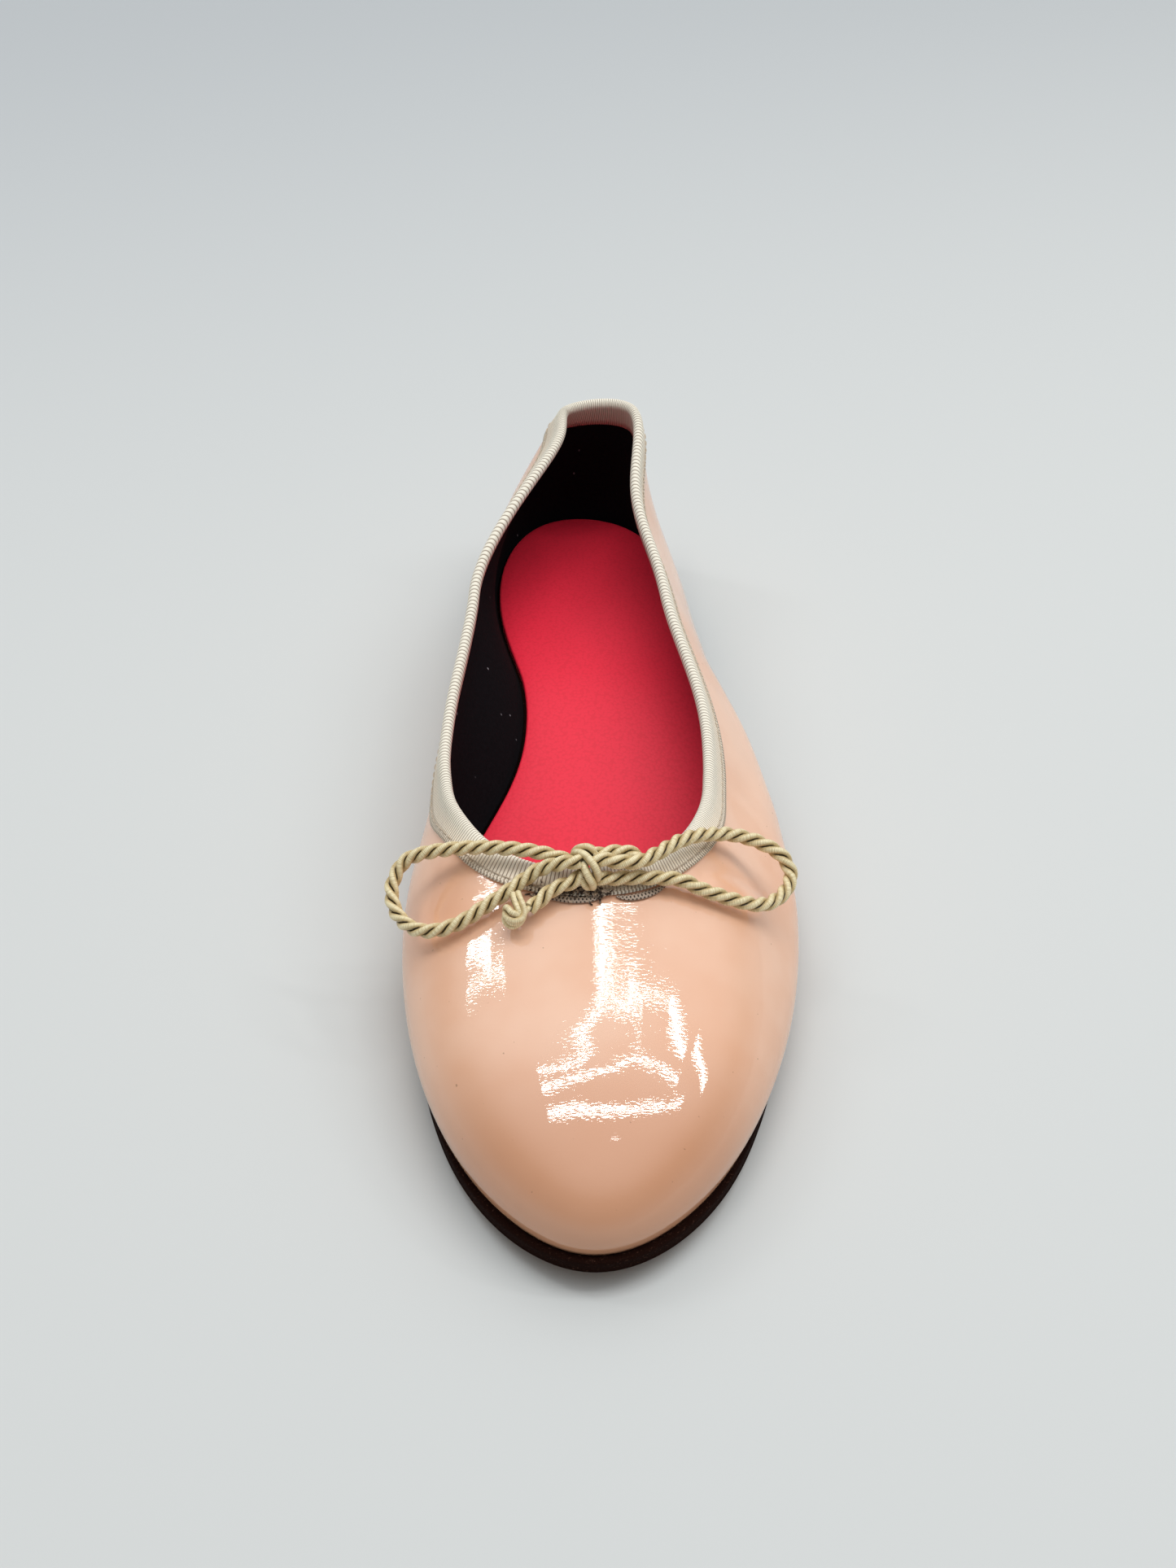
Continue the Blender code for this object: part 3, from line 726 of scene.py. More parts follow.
def make_upper(settings):
    skin = Skin(UPPER_COLUMNS)
    shares = np.linspace(0.0, 1.0, UPPER_ROWS)
    face = np.array([skin.at(skin.length() * share) for share in shares])
    normals = unit(np.array([skin.read(skin.normals, skin.length() * share) for share in shares]))
    fade = ease(shares / TOP_FADE) * ease((1.0 - shares) / FOOT_FADE)
    lift = crease_height(face, skin) + settings.ripple * ripples(face, RIPPLE_SIZE)
    face = face + normals * (lift * fade[:, None])[:, :, None]
    back = [skin.at(skin.length() * share, settings.shell) for share in np.linspace(1.0, 0.0, SHELL_ROWS)]
    keep_over_sole(back[0])
    edge = skin.crest(settings.shell / 2, settings.shell / 2)
    hose("patent_upper", [*face, *back, edge], patent_finish(settings), "patent_leather", "upper")


def make_lining(settings):
    skin = Skin(LINING_COLUMNS)
    rings = [skin.at(skin.length() * share, UPPER_WALL) for share in np.linspace(0.0, 1.0, LINING_ROWS)]
    near = settings.shell + LINING_CLEAR
    rings += [skin.at(skin.length() * share, near) for share in np.linspace(1.0, 0.0, SHELL_ROWS)]
    for ring in rings[LINING_ROWS - 1 : LINING_ROWS + 1]:
        keep_over_sole(ring)
    hose("lining", rings, lining_finish(settings), "patent_leather")


# Ribbon

RIM_COLUMNS = 720
STITCH_COLUMNS = 1600
RIB_COLUMNS = 6
LEAF_ROWS = 9
LEAF_STEPS = 20
LEAF_BLUR = 5
FOLD_ROWS = 9
INNER_ROWS = 4
FOLD_RUN = 6.0
INNER_RUN = 12.0
LEAF_PROUD = 0.0004
INNER_SIDE = 0.0016
STITCH = 0.0021
STITCH_GAP = 0.0005
STITCH_POINTS = 7
STITCH_RADIUS = 0.00014


def ribbon_finish(settings):
    finish = Finish("grosgrain_ribbon")
    ribs, run = finish.chart()
    off_crest = finish.maths("ABSOLUTE", finish.maths("FRACT", ribs) - 0.5) * 2.0
    # Painted shade: the grooves between the ribs are painted darker, standing in for the shade that falls
    # there.
    painted_groove_shade = finish.step(off_crest, 0.56, 0.92)
    flat = finish.step(run, FOLD_RUN * 0.96, FOLD_RUN * 0.50)
    # Painted shade: the inner leaf, inside the shoe, is painted a darker brown for the shade that falls
    # there.
    painted_inner_shade = finish.step(run, FOLD_RUN + 4.6, FOLD_RUN + 6.4)
    seam = settings.stitch_line * 1000
    stitch_shade = finish.step(finish.maths("ABSOLUTE", run - seam), 0.55, 0.25)
    selvedge = finish.step(run, seam - 0.45, seam - 0.65)
    bead = finish.maths("SINE", ribs * math.tau) * finish.maths("SINE", run * math.tau / 1.1)
    spot = finish.position()
    # Painted shade: the flat leaf is painted a little darker than the fold.
    colour = finish.mix(flat, settings.thread, settings.leaf)
    colour = finish.mix(finish.noise(spot, 0.012) * 0.12, colour, (0.70, 0.56, 0.46))
    colour = finish.mix(painted_inner_shade * 0.75, colour, (0.56, 0.38, 0.31))
    # Painted shade in the grooves and along the stitch line; the selvedge's dots are drawn in the same dark
    # colour.
    for share in (painted_groove_shade * 0.80, stitch_shade * 0.30, selvedge * finish.step(bead, 0.0, 0.5) * 0.6):
        colour = finish.mix(share, colour, settings.painted_groove_shade)
    normal = finish.bump(finish.noise(spot, 0.00025) * 0.00003 - painted_groove_shade * 0.00004)
    finish.set(Base_Color=colour, Roughness=0.78, Normal=normal, Specular_IOR_Level=0.25)
    return finish


# Width of the ribbon's outer leaf in millimetres at places round the shoe, counted in ribs
LEAF_WIDTHS = (
    (0.0, 6.5), (5.8, 7.0), (6.4, 8.0), (6.9, 8.4), (7.2, 7.2), (7.6, 5.6), (8.0, 4.8), (8.8, 5.7),
    (9.6, 5.5), (10.4, 6.2), (11.0, 5.9), (11.4, 5.3), (12.1, 5.0), (13.0, 5.0), (18.5, 5.4), (20.0, 6.5),
)


def leaf_width(skin):
    turns, widths = np.array(LEAF_WIDTHS).T
    places = np.arange(LEAF_STEPS * len(RIBS) + 1) / LEAF_STEPS
    rough = np.interp(places[:-1], turns, widths)
    shifts = range(-LEAF_BLUR, LEAF_BLUR + 1)
    smooth = sum(np.roll(rough, shift) for shift in shifts) / len(shifts)
    return 0.001 * np.interp(skin.turns, places, np.append(smooth, smooth[0]))


def make_ribbon(settings):
    middle = UPPER_WALL / 2
    count = round(line_length(Skin(RIM_COLUMNS).crest(middle, 0.0)) / settings.rib_pitch) * RIB_COLUMNS
    skin = Skin(count)
    phase = np.arange(count) / RIB_COLUMNS
    bulge = np.abs(np.sin(math.pi * phase)) ** 0.7
    ribbing = settings.rib_height * bulge
    half = settings.half_fold
    width = leaf_width(skin)
    rows = []
    for share in np.linspace(1.0, 0.04, LEAF_ROWS):
        depth = width * share
        lifted = GAP + LEAF_PROUD
        proud = lifted + (half - middle - lifted) * ease((0.0050 - depth) / 0.0045)
        serration = (share == 1.0) * 0.00030 * bulge
        rows.append((skin.at(depth + serration, -(proud + ribbing)), (1 - share) * FOLD_RUN))
    for turn in np.linspace(0.0, math.pi, FOLD_ROWS + 2)[1:-1]:
        reach = half + ribbing
        inward = middle - reach * math.cos(turn)
        over = (reach + 0.0006) * math.sin(turn) - 0.0002
        rows.append((skin.crest(inward, over), FOLD_RUN + (turn / math.pi) * (INNER_RUN - FOLD_RUN)))
    heel = ease((skin.points[0][:, 1] / LENGTH - 0.86) / 0.06)
    tucked = INNER_SIDE + (settings.inside - INNER_SIDE) * heel
    for share in np.linspace(0.05, 1.0, INNER_ROWS):
        rows.append((skin.at(tucked * share, middle + half + 0.6 * ribbing), INNER_RUN + share * 5))
    for share in (1.0, 0.0):
        rows.append((skin.at(tucked * share, UPPER_WALL + GAP), FOLD_RUN + 8))
    rows.append((skin.crest(middle, GAP), FOLD_RUN))
    for share in (0.0, 1.0):
        rows.append((skin.at(width * share, -GAP), 0.0))
    chart = np.vstack([np.column_stack([phase, np.full(count, run)]) for ring, run in rows])
    rings = [ring for ring, run in rows]
    hose("ribbon_binding", rings, ribbon_finish(settings), "ribbon", "topline_ribbon", chart=chart)


def make_stitches(settings):
    """The thread that holds the ribbon, one short stitch after another along its outer leaf."""
    skin = Skin(STITCH_COLUMNS)
    depth = leaf_width(skin) - settings.stitch_line
    line, deep = (skin.at(depth, -(GAP + proud)) for proud in (0.00066, 0.00035))
    line, deep = (np.vstack([ring, ring[:1]]) for ring in (line, deep))
    run = run_along(line)
    count = int(run[-1] / (STITCH + STITCH_GAP))
    arch = np.sin(np.linspace(0.0, math.pi, STITCH_POINTS))[:, None] ** 0.4
    tubes = Tubes(6)
    for start in np.arange(count) * run[-1] / count:
        places = np.linspace(start, start + STITCH, STITCH_POINTS)
        low = read_line(places, run, deep)
        tubes.add(low + (read_line(places, run, line) - low) * arch, STITCH_RADIUS)
    finish = Finish("sewing_thread")
    finish.set(Base_Color=(0.60, 0.50, 0.38), Roughness=0.6)
    tubes.piece("ribbon_stitches", finish, "ribbon")


# Bow

STRANDS = 3
STRAND_SIDES = 14
TWIST_STEP = 0.00028

# Each cord with its route and the turn at which its strands start
CORDS = (
    ("loop_medial", LOOP_MEDIAL, 0.0),
    ("loop_lateral", LOOP_LATERAL, 0.0),
    ("tail_medial", TAIL_MEDIAL, 0.4),
    ("tail_lateral", TAIL_LATERAL, 1.3),
)


def cord_finish(settings):
    finish = Finish("gold_cord")
    along, turned = finish.chart()
    wander = finish.noise(finish.position(), 0.0022, 1.0) * 1.2
    phase = finish.maths("FRACT", along / (settings.thread * 1000) + wander)
    round_thread = finish.maths("SINE", phase * math.pi)
    drawn_out = finish.node("ShaderNodeCombineXYZ", None, {0: along * 3.0, 1: turned * 1.5})
    streak = finish.noise(drawn_out.outputs[0], 1.0)
    # The strand's phase round the cord, counted from the side that faces the viewer, sets where the painted
    # shade of the gaps opens.
    faced = finish.maths("COSINE", along * (math.tau / (settings.lay * 1000)))
    painted_open_gap = finish.step(finish.maths("ABSOLUTE", faced - 0.42), 0.62, 0.18)
    painted_deepest_shade = finish.step(turned, 0.52, 0.66)
    painted_crevice_shade = finish.maths("MAXIMUM", painted_deepest_shade, finish.step(turned, 0.40, 0.53) * painted_open_gap)
    # Painted shade: each strand is painted darker down its flanks, away from its crown.
    colour = finish.mix(finish.step(turned, 0.08, 0.40) * 0.70, settings.silk, (0.52, 0.35, 0.12))
    colour = finish.mix(finish.step(streak, 0.42, 0.62) * 0.4, colour, (0.55, 0.38, 0.14))
    # Painted shade between the threads wound round each strand.
    colour = finish.mix(finish.step(round_thread, 0.60, 0.05) * 0.45, colour, (0.26, 0.18, 0.06))
    # Painted shade deep between the strands and in the lens-shaped gaps between them.
    colour = finish.mix(painted_crevice_shade, colour, settings.shade)
    normal = finish.bump(round_thread * 0.00002 + streak * 0.00001)
    finish.set(Base_Color=colour, Roughness=0.36, Normal=normal, Specular_IOR_Level=0.55)
    return finish


def twist(route, settings, start):
    """The strands laid round a route, each turning left-handed as it runs, and the line they follow.
    They are charted by how far each has turned from the side that faces the viewer, so that the
    gaps between them, painted as dark shade, close towards the cord's two sides."""
    path = smooth_route(from_throat(route), TWIST_STEP)
    tangents = frames_along(path)[0]
    # The strands' turns are counted from the side that faces the viewer.
    near = view_axes()[2]
    normals = unit(near - tangents * (tangents @ near)[:, None])
    across = np.cross(tangents, normals)
    reach = settings.diameter / 2 - settings.strand
    run = np.arange(len(path)) * TWIST_STEP
    tubes = Tubes(STRAND_SIDES)
    for k in range(STRANDS):
        turns = run / settings.lay - k / STRANDS - start / math.tau
        angle = -math.tau * turns
        ray = np.cos(angle)[:, None] * normals + np.sin(angle)[:, None] * across
        tubes.add(path + reach * ray, settings.strand, 1.0, ray, turns * settings.lay * 1000)
    return tubes, path


def make_bow(settings):
    finish = cord_finish(settings)
    pieces = {}
    paths = {}
    for name, route, start in CORDS:
        tubes, paths[name] = twist(route, settings, start)
        pieces[name] = tubes.piece("bow_" + name + "_cord", finish, "cord", "bow_" + name)
    thick = settings.strand * 1.12
    thin = settings.strand * 0.92
    trim = [
        pieces["tail_medial"],
        pieces["tail_lateral"],
        knot_strands("bow_knot", KNOT_PLACE, BOW_KNOT, 0.001, thick, finish),
        knot_strands("bow_tail_knot", TAIL_KNOT_PLACE, TAIL_KNOT, 0.0009, thin, finish),
    ]
    for name, sides in (("loop_medial", trim), ("loop_lateral", [])):
        world = paths[name] + ORIGIN


def view_axes():
    """Across, up and towards the viewer, for forms that are placed as the photo shows them."""
    level, steep = math.cos(LOOK_DOWN), math.sin(LOOK_DOWN)
    return np.array([(1.0, 0.0, 0.0), (0.0, steep, level), (0.0, -level, steep)])


def knot_strands(node, place, strands, scale, radius, finish):
    """A knot of single strands, each laid round the knot's middle."""
    centre = from_throat(place)
    tubes = Tubes(STRAND_SIDES)
    for places in strands:
        path = smooth_route(centre + (np.array(places) * scale) @ view_axes(), TWIST_STEP)
        # Each strand is charted from the knot's middle outward, so that the cord finish paints shade on its
        # inner side.
        tubes.add(path, radius, 1.0, unit(path - centre))
    return tubes.piece(node + "_wrap", finish, "cord", node)


# Places in a knot, in millimetres across, up and towards the viewer from its middle
BOW_KNOT = (
    (
        (-2.3, 2.2, -1.5), (-2.6, 3.0, 0.2), (-1.6, 3.1, 1.8), (-0.4, 2.6, 2.7), (0.6, 1.6, 3.2),
        (1.6, 0.2, 3.3), (2.2, -1.2, 2.7), (2.2, -2.3, 1.4), (1.5, -2.9, -0.6),
    ),
    (
        (-1.0, 1.6, 1.0), (-0.7, 0.6, 2.2), (-0.3, -0.6, 2.8), (0.4, -2.1, 2.9), (1.1, -3.3, 2.3),
        (1.3, -4.1, 1.1), (1.0, -4.3, -0.6),
    ),
    (
        (-0.9, -2.2, 0.9), (-0.7, -3.1, 1.3), (-0.2, -4.0, 1.0), (0.5, -4.3, -0.2),
    ),
    (
        (-2.9, 2.4, -1.8), (-2.4, 3.6, -0.6), (-1.2, 4.2, 0.2), (0.2, 4.1, 0.4), (1.2, 3.3, 0.4),
        (1.9, 2.2, 0.0),
    ),
    (
        (-1.9, 3.2, -2.6), (-0.6, 4.2, -2.4), (1.0, 3.8, -2.4), (2.2, 2.2, -2.8),
    ),
)
TAIL_KNOT = (
    (
        (-0.5, 4.8, -1.4), (-0.2, 3.7, 0.1), (0.4, 2.1, 1.4), (0.9, 0.8, 1.8), (1.1, -0.3, 1.0),
    ),
    (
        (0.6, 5.1, -1.4), (1.0, 4.1, 0.1), (1.8, 2.4, 1.3), (2.2, 0.8, 1.7), (1.8, -0.5, 2.1),
        (0.6, -1.2, 2.6), (-0.7, -1.1, 2.5), (-1.9, -0.4, 1.8), (-2.3, 0.4, 0.4),
    ),
    (
        (-2.2, 0.8, -0.6), (-2.1, 1.7, 0.6), (-1.5, 1.6, 1.8), (-0.7, 0.8, 2.6), (0.3, 0.3, 2.4),
        (1.0, -0.1, 1.3),
    ),
    (
        (-2.3, -0.1, 0.2), (-2.3, -1.3, 0.9), (-1.6, -2.3, 1.1), (-0.4, -2.6, 1.4), (0.9, -2.0, 1.4),
        (1.8, -0.9, 1.1), (2.1, 0.1, 0.0),
    ),
    (
        (-1.8, -0.9, 1.4), (-0.9, -1.7, 2.0), (0.3, -1.8, 2.0), (1.3, -1.0, 1.7),
    ),
    (
        (-1.8, -1.2, -0.6), (-0.9, -1.9, -0.6), (0.4, -1.9, -0.4), (1.4, -0.9, -0.4),
    ),
    (
        (3.4, 1.8, -0.6), (2.6, 1.1, 0.4), (1.8, 0.2, 0.7), (0.6, -0.2, 0.4),
    ),
)


# Frayed ribbon ends below the bow's knot

FRAYS = 64
FRAY_STEPS = 6
FRAY_SEED = 11
FOLD_PROUD = 0.0005
FOLDED_ENDS = (
    ((9.36, 0.0098), (9.55, 0.0104), (9.75, 0.0108), (9.95, 0.0107), (10.12, 0.0102)),
    ((10.28, 0.0100), (10.42, 0.0106), (10.60, 0.0105), (10.78, 0.0099), (10.95, 0.0090)),
)


def make_frays():
    skin = Skin(FINE_COLUMNS)
    draw = random.Random(FRAY_SEED)
    tubes = Tubes(5)
    for _ in range(FRAYS):
        turn = draw.uniform(9.46, 10.16)
        depth = draw.uniform(0.0080, 0.0100)
        proud = draw.uniform(0.0005, 0.0014)
        lean = draw.uniform(-0.06, 0.06)
        route = []
        for _ in range(FRAY_STEPS):
            route.append(skin.over(turn, depth, max(proud, GAP)))
            turn += lean + draw.uniform(-0.035, 0.035)
            depth += draw.uniform(-0.0007, 0.0009)
            proud += draw.uniform(-0.0005, 0.0003)
        tubes.add(smooth_route(route, 0.00025), draw.uniform(0.00014, 0.00025))
    finish = Finish("frayed_thread")
    cloud = finish.noise(finish.position(), 0.0012)
    # Painted shade: a noise cloud paints some of the frayed threads nearly black, standing for the shade
    # among the curls.
    colour = finish.mix(finish.step(cloud, 0.40, 0.60), (0.05, 0.032, 0.024), (0.62, 0.49, 0.37))
    finish.set(Base_Color=colour, Roughness=0.75, Specular_IOR_Level=0.2)
    tubes.piece("ribbon_frays", finish, "ribbon")


def make_folded_ends():
    """The ribbon's two cut ends, folded flat into narrow lens shapes under the knot."""
    skin = Skin(FINE_COLUMNS)
    tubes = Tubes(12)
    for places in FOLDED_ENDS:
        path, deeper = (
            smooth_route([skin.over(turn, depth + lower, FOLD_PROUD) for turn, depth in places], 0.0003)
            for lower in (0.0, 0.001)
        )
        count = min(len(path), len(deeper))
        share = np.linspace(0.0, 1.0, len(path))[:count]
        width = 0.0001 + 0.00075 * np.sin(math.pi * share) ** 0.6
        tubes.add(path[:count], width, 0.45, unit(deeper[:count] - path[:count]))
    finish = Finish("folded_ribbon_end")
    along, turned = finish.chart()
    hole = finish.maths("SINE", along * math.tau / 0.85)
    row = finish.maths("SINE", turned * math.tau * 1.5)
    # Painted shade: the folded ends are painted a darker taupe than the ribbon elsewhere, for the shade
    # under the knot; the dark dots are its holes.
    colour = finish.mix(finish.step(hole * row, 0.15, 0.5), (0.52, 0.41, 0.32), (0.03, 0.018, 0.012))
    finish.set(Base_Color=colour, Roughness=0.7, Normal=finish.bump(hole * 0.00006))
    tubes.piece("ribbon_folded_ends", finish, "ribbon")


# Insole, outsole and heel

OUTLINE_POINTS = 1440
SIDE_POINTS = 240
ACROSS = 14
INSOLE_ROUND_STEPS = 4

# The heel's edge from the floor up: share of its taper, extra inset, share of its height
HEEL_EDGE = (
    (0.0, 0.0004, 0.0), (0.0, 0.0, 0.05), (0.30, 0.0, 0.30), (0.33, 0.0002, 0.33), (0.36, 0.0, 0.36),
    (0.64, 0.0, 0.64), (0.67, 0.0002, 0.67), (0.70, 0.0, 0.70), (1.0, 0.0, 1.0),
)


def edge_margin(along):
    return SIDE_EDGE + (TOE_EDGE - SIDE_EDGE) * ease((TOE_LIP_END - along) / (TOE_LIP_END - TOE_LIP_FULL))


def outline_sides(margin, front):
    """The foot line moved out by a margin and cut straight across in front, as two sides of evenly
    spread points from the middle of the front to the back of the heel."""
    line = foot_line(np.arange(OUTLINE_POINTS) * len(RIBS) / OUTLINE_POINTS)
    line = line + outward(line) * margin(line[:, 1] / LENGTH)[:, None]
    line = np.roll(line, -np.argmax(line[:, 1]), 0)
    toe = np.argmin(line[:, 1])
    halves = [line[: toe + 1][::-1], np.vstack([line[toe:], line[:1]])]
    if front > line[toe, 1]:
        halves = [half[half[:, 1] > front] for half in halves]
        middle = [(halves[0][0, 0] + halves[1][0, 0]) / 2, front]
        halves = [np.vstack([middle, (half[0, 0], front), half]) for half in halves]
    sides = []
    for half in halves:
        run = run_along(half)
        sides.append(read_line(np.linspace(0.0, run[-1], SIDE_POINTS + 1), run, half))
    return sides


def slab(name, margin, levels, finish, slot, node, front=-1.0):
    """A slab along the foot line, closed above and below. Levels hold an inset and a height."""
    loop = 2 * SIDE_POINTS
    column = np.arange(SIDE_POINTS + 1)
    share = np.linspace(0.0, 1.0, ACROSS + 1)[1:-1, None]
    outlines = [outline_sides(lambda along: margin(along) - inset, front) for inset, height in levels]
    points = []
    for (medial, lateral), (inset, height) in zip(outlines, levels):
        ring = np.vstack([medial, lateral[1:-1][::-1]])
        points.append(np.column_stack([ring, height(ring[:, 1] / LENGTH)]))
    faces = band_faces(len(levels), loop)
    count = len(levels) * loop
    for level in (0, len(levels) - 1):
        medial, lateral = (side[1:-1, None] for side in outlines[level])
        spots = (medial * (1 - share) + lateral * share).reshape(-1, 2)
        points.append(np.column_stack([spots, levels[level][1](spots[:, 1] / LENGTH)]))
        cap = np.repeat(level * loop + column[:, None], ACROSS + 1, axis=1)
        cap[1:-1, -1] = (level + 1) * loop - column[1:-1]
        cap[1:-1, 1:-1] = count + np.arange(len(spots)).reshape(SIDE_POINTS - 1, ACROSS - 1)
        count += len(spots)
        for near, far in zip(cap[:-1].tolist(), cap[1:].tolist()):
            for k in range(ACROSS):
                face = tuple(dict.fromkeys((near[k], near[k + 1], far[k + 1], far[k])))
                if len(face) > 2:
                    faces.append(face)
    return make_piece(name, np.vstack(points), faces, finish, slot, node)


def insole_finish(settings):
    finish = Finish("insole_leather")
    spot = finish.position()
    pebble = finish.cells(spot, settings.grain)
    colour = finish.mix(finish.step(pebble, 0.40, 0.80) * 0.26, settings.red, settings.deep)
    colour = finish.mix(finish.noise(spot, 0.020) * 0.12, colour, (1.0, 0.05, 0.10))
    normal = finish.bump(pebble * -0.00003 + finish.noise(spot, 0.0005) * 0.00002)
    finish.set(Base_Color=colour, Roughness=0.50, Normal=normal, Specular_IOR_Level=0.32)
    return finish


def make_insole(settings):
    def raised(amount):
        return lambda along: sole_top(along) + GAP + amount

    levels = [(0.0, raised(0.0)), (0.0, raised(INSOLE_THICKNESS - EDGE_ROUND))]
    for turn in np.linspace(0.0, math.pi / 2, INSOLE_ROUND_STEPS)[1:]:
        rise = INSOLE_THICKNESS - EDGE_ROUND * (1 - math.sin(turn))
        levels.append((EDGE_ROUND * (1 - math.cos(turn)), raised(rise)))
    slab(
        "insole_leather", lambda along: 0.0 * along - UPPER_WALL - INSOLE_CLEAR, levels,
        insole_finish(settings), "insole_leather", "insole",
    )


def sole_finish(settings):
    finish = Finish("sole_leather")
    spot = finish.position()
    normal = finish.node("ShaderNodeNewGeometry").outputs["True Normal"]
    below = finish.step(finish.axes(normal)[2], -0.6, -0.9)
    fibre = finish.noise(finish.stretched(spot, (1.0, 1.0, 1.8)), 0.0007, 5.0, 0.75)
    streak = finish.noise(finish.stretched(spot, (0.25, 1.0, 1.0)), 0.0008, 3.0, 0.6)
    edge = finish.mix(finish.step(fibre, 0.57, 0.74) * 0.6, settings.leather, settings.fibre)
    tread = finish.mix(finish.step(streak, 0.45, 0.75) * 0.4, settings.tread, (0.17, 0.09, 0.05))
    colour = finish.mix(below, edge, tread)
    height = fibre * 0.0003 * (1 - below) + streak * 0.00006
    finish.set(Base_Color=colour, Roughness=0.75, Normal=finish.bump(height), Specular_IOR_Level=0.04)
    return finish


def make_sole(settings):
    finish = sole_finish(settings)
    lip = settings.lip
    top = OUTSOLE_THICKNESS
    edge = (
        (0.0014, 0.0), (0.0008, 0.0003), (0.0007, lip), (0.0001, lip + 0.0002), (0.0, lip + 0.0005),
        (0.0002, lip + 0.0008), (0.0001, top - EDGE_ROUND), (0.0003, top - EDGE_ROUND * 0.3), (0.0008, top),
    )

    def over(amount):
        return lambda along: sole_underside(along) + amount

    levels = [(inset, over(amount)) for inset, amount in edge]
    slab("leather_outsole", edge_margin, levels, finish, "sole_leather", "outsole")

    def stacked(share):
        return lambda along: 0.0 * along + share * (HEEL_HEIGHT - GAP)

    levels = [(HEEL_TAPER * (1 - taper) + extra, stacked(share)) for taper, extra, share in HEEL_EDGE]
    slab(
        "stacked_heel", lambda along: edge_margin(along) - HEEL_INSET, levels,
        finish, "sole_leather", "heel_lift", BREAST_LINE * LENGTH,
    )


# Stage

LAMP_HEIGHT = 1.0
LAMP_RADIANCE = 18.0
ROOM_RADIANCE = 0.15
CEILING_RADIANCE = 1.05
HORIZON_RADIANCE = 0.36
OVERHEAD = (0.08, 0.25, 0.96)
FLOOR_SIZE = 3.0
FLOOR_CELLS = 12
PHOTO_HEIGHT = 1927.0
SENSOR = 36.0

# Strip lamps in one level plane above the shoe, each from start to end, in metres across and back
Lamp = namedtuple("Lamp", "name start end width power")
LAMPS = (
    Lamp("patch_tip", (0.032, 0.3510), (0.050, 0.3510), 0.006, 1.1),
    Lamp("patch_top", (0.026, 0.3455), (0.070, 0.3455), 0.005, 1.1),
    Lamp("patch_upper", (0.010, 0.3400), (0.090, 0.3400), 0.006, 1.1),
    Lamp("patch_middle", (0.002, 0.3345), (0.200, 0.3345), 0.006, 1.1),
    Lamp("patch_low", (0.150, 0.325), (0.400, 0.325), 0.012, 1.0),
    Lamp("patch_neck", (0.030, 0.322), (0.048, 0.320), 0.004, 1.0),
    Lamp("patch_side", (0.400, 0.322), (0.590, 0.255), 0.040, 1.0),
    Lamp("first_bar_front", (-0.330, 0.192), (-0.120, 0.236), 0.016, 1.0),
    Lamp("first_bar_middle", (-0.120, 0.236), (-0.030, 0.275), 0.015, 1.0),
    Lamp("first_bar_back", (-0.030, 0.275), (0.040, 0.314), 0.015, 1.0),
    Lamp("arm", (0.045, 0.310), (0.235, 0.297), 0.012, 1.0),
    Lamp("second_bar_front", (-0.338, 0.126), (-0.153, 0.175), 0.018, 1.0),
    Lamp("second_bar_middle", (-0.153, 0.175), (0.215, 0.245), 0.018, 1.0),
    Lamp("second_bar_back", (0.215, 0.245), (0.600, 0.138), 0.018, 1.0),
    Lamp("third_bar_front", (-0.342, 0.052), (-0.117, 0.084), 0.020, 1.0),
    Lamp("third_bar_back", (-0.117, 0.084), (0.760, 0.062), 0.020, 1.0),
    Lamp("corner", (0.680, 0.285), (1.080, 0.120), 0.045, 1.0),
    Lamp("left_patch", (-0.960, 0.520), (-0.580, 0.392), 0.036, 0.9),
    Lamp("left_streak", (-0.960, 0.412), (-0.460, 0.346), 0.012, 1.0),
    Lamp("low_glow", (0.120, -0.043), (0.190, -0.040), 0.010, 0.6),
)


def strip_lamp(lamp):
    """A lamp whose mirror image shows in the patent leather as one of the photo's bright strokes."""
    start, end = (np.array([*spot, LAMP_HEIGHT]) + ORIGIN for spot in (lamp.start, lamp.end))
    run = float(np.linalg.norm(end - start))
    data = bpy.data.lights.new("lamp_" + lamp.name, "AREA")
    data.shape = "RECTANGLE"
    data.size = run
    data.size_y = lamp.width
    data.energy = LAMP_RADIANCE * lamp.power * run * lamp.width * math.pi
    light = bpy.data.objects.new("lamp_" + lamp.name, data)
    light.visible_camera = False
    light.location = (start + end) / 2
    light.rotation_euler = (0.0, 0.0, math.atan2(end[1] - start[1], end[0] - start[0]))
    link(light)


def soft_room():
    """A pale room, brighter overhead and a little behind the shoe."""
    world = bpy.data.worlds.new("soft_room")
    world.use_nodes = True
    nodes = Nodes(world.node_tree)
    ray = nodes.node("ShaderNodeTexCoord").outputs["Generated"]
    overhead = nodes.node("ShaderNodeVectorMath", {"operation": "DOT_PRODUCT"}, {0: ray, 1: OVERHEAD})
    bright = ROOM_RADIANCE + CEILING_RADIANCE
    ceiling = nodes.step(overhead.outputs["Value"], 0.45, 0.95, ROOM_RADIANCE, bright)
    haze = nodes.step(nodes.axes(ray)[2], 0.0, 0.40, HORIZON_RADIANCE, 0.0)
    sky = nodes.tree.nodes["Background"]
    nodes.feed(sky.inputs["Color"], (0.97, 0.985, 1.0))
    nodes.feed(sky.inputs["Strength"], ceiling + haze)
    bpy.context.scene.world = world


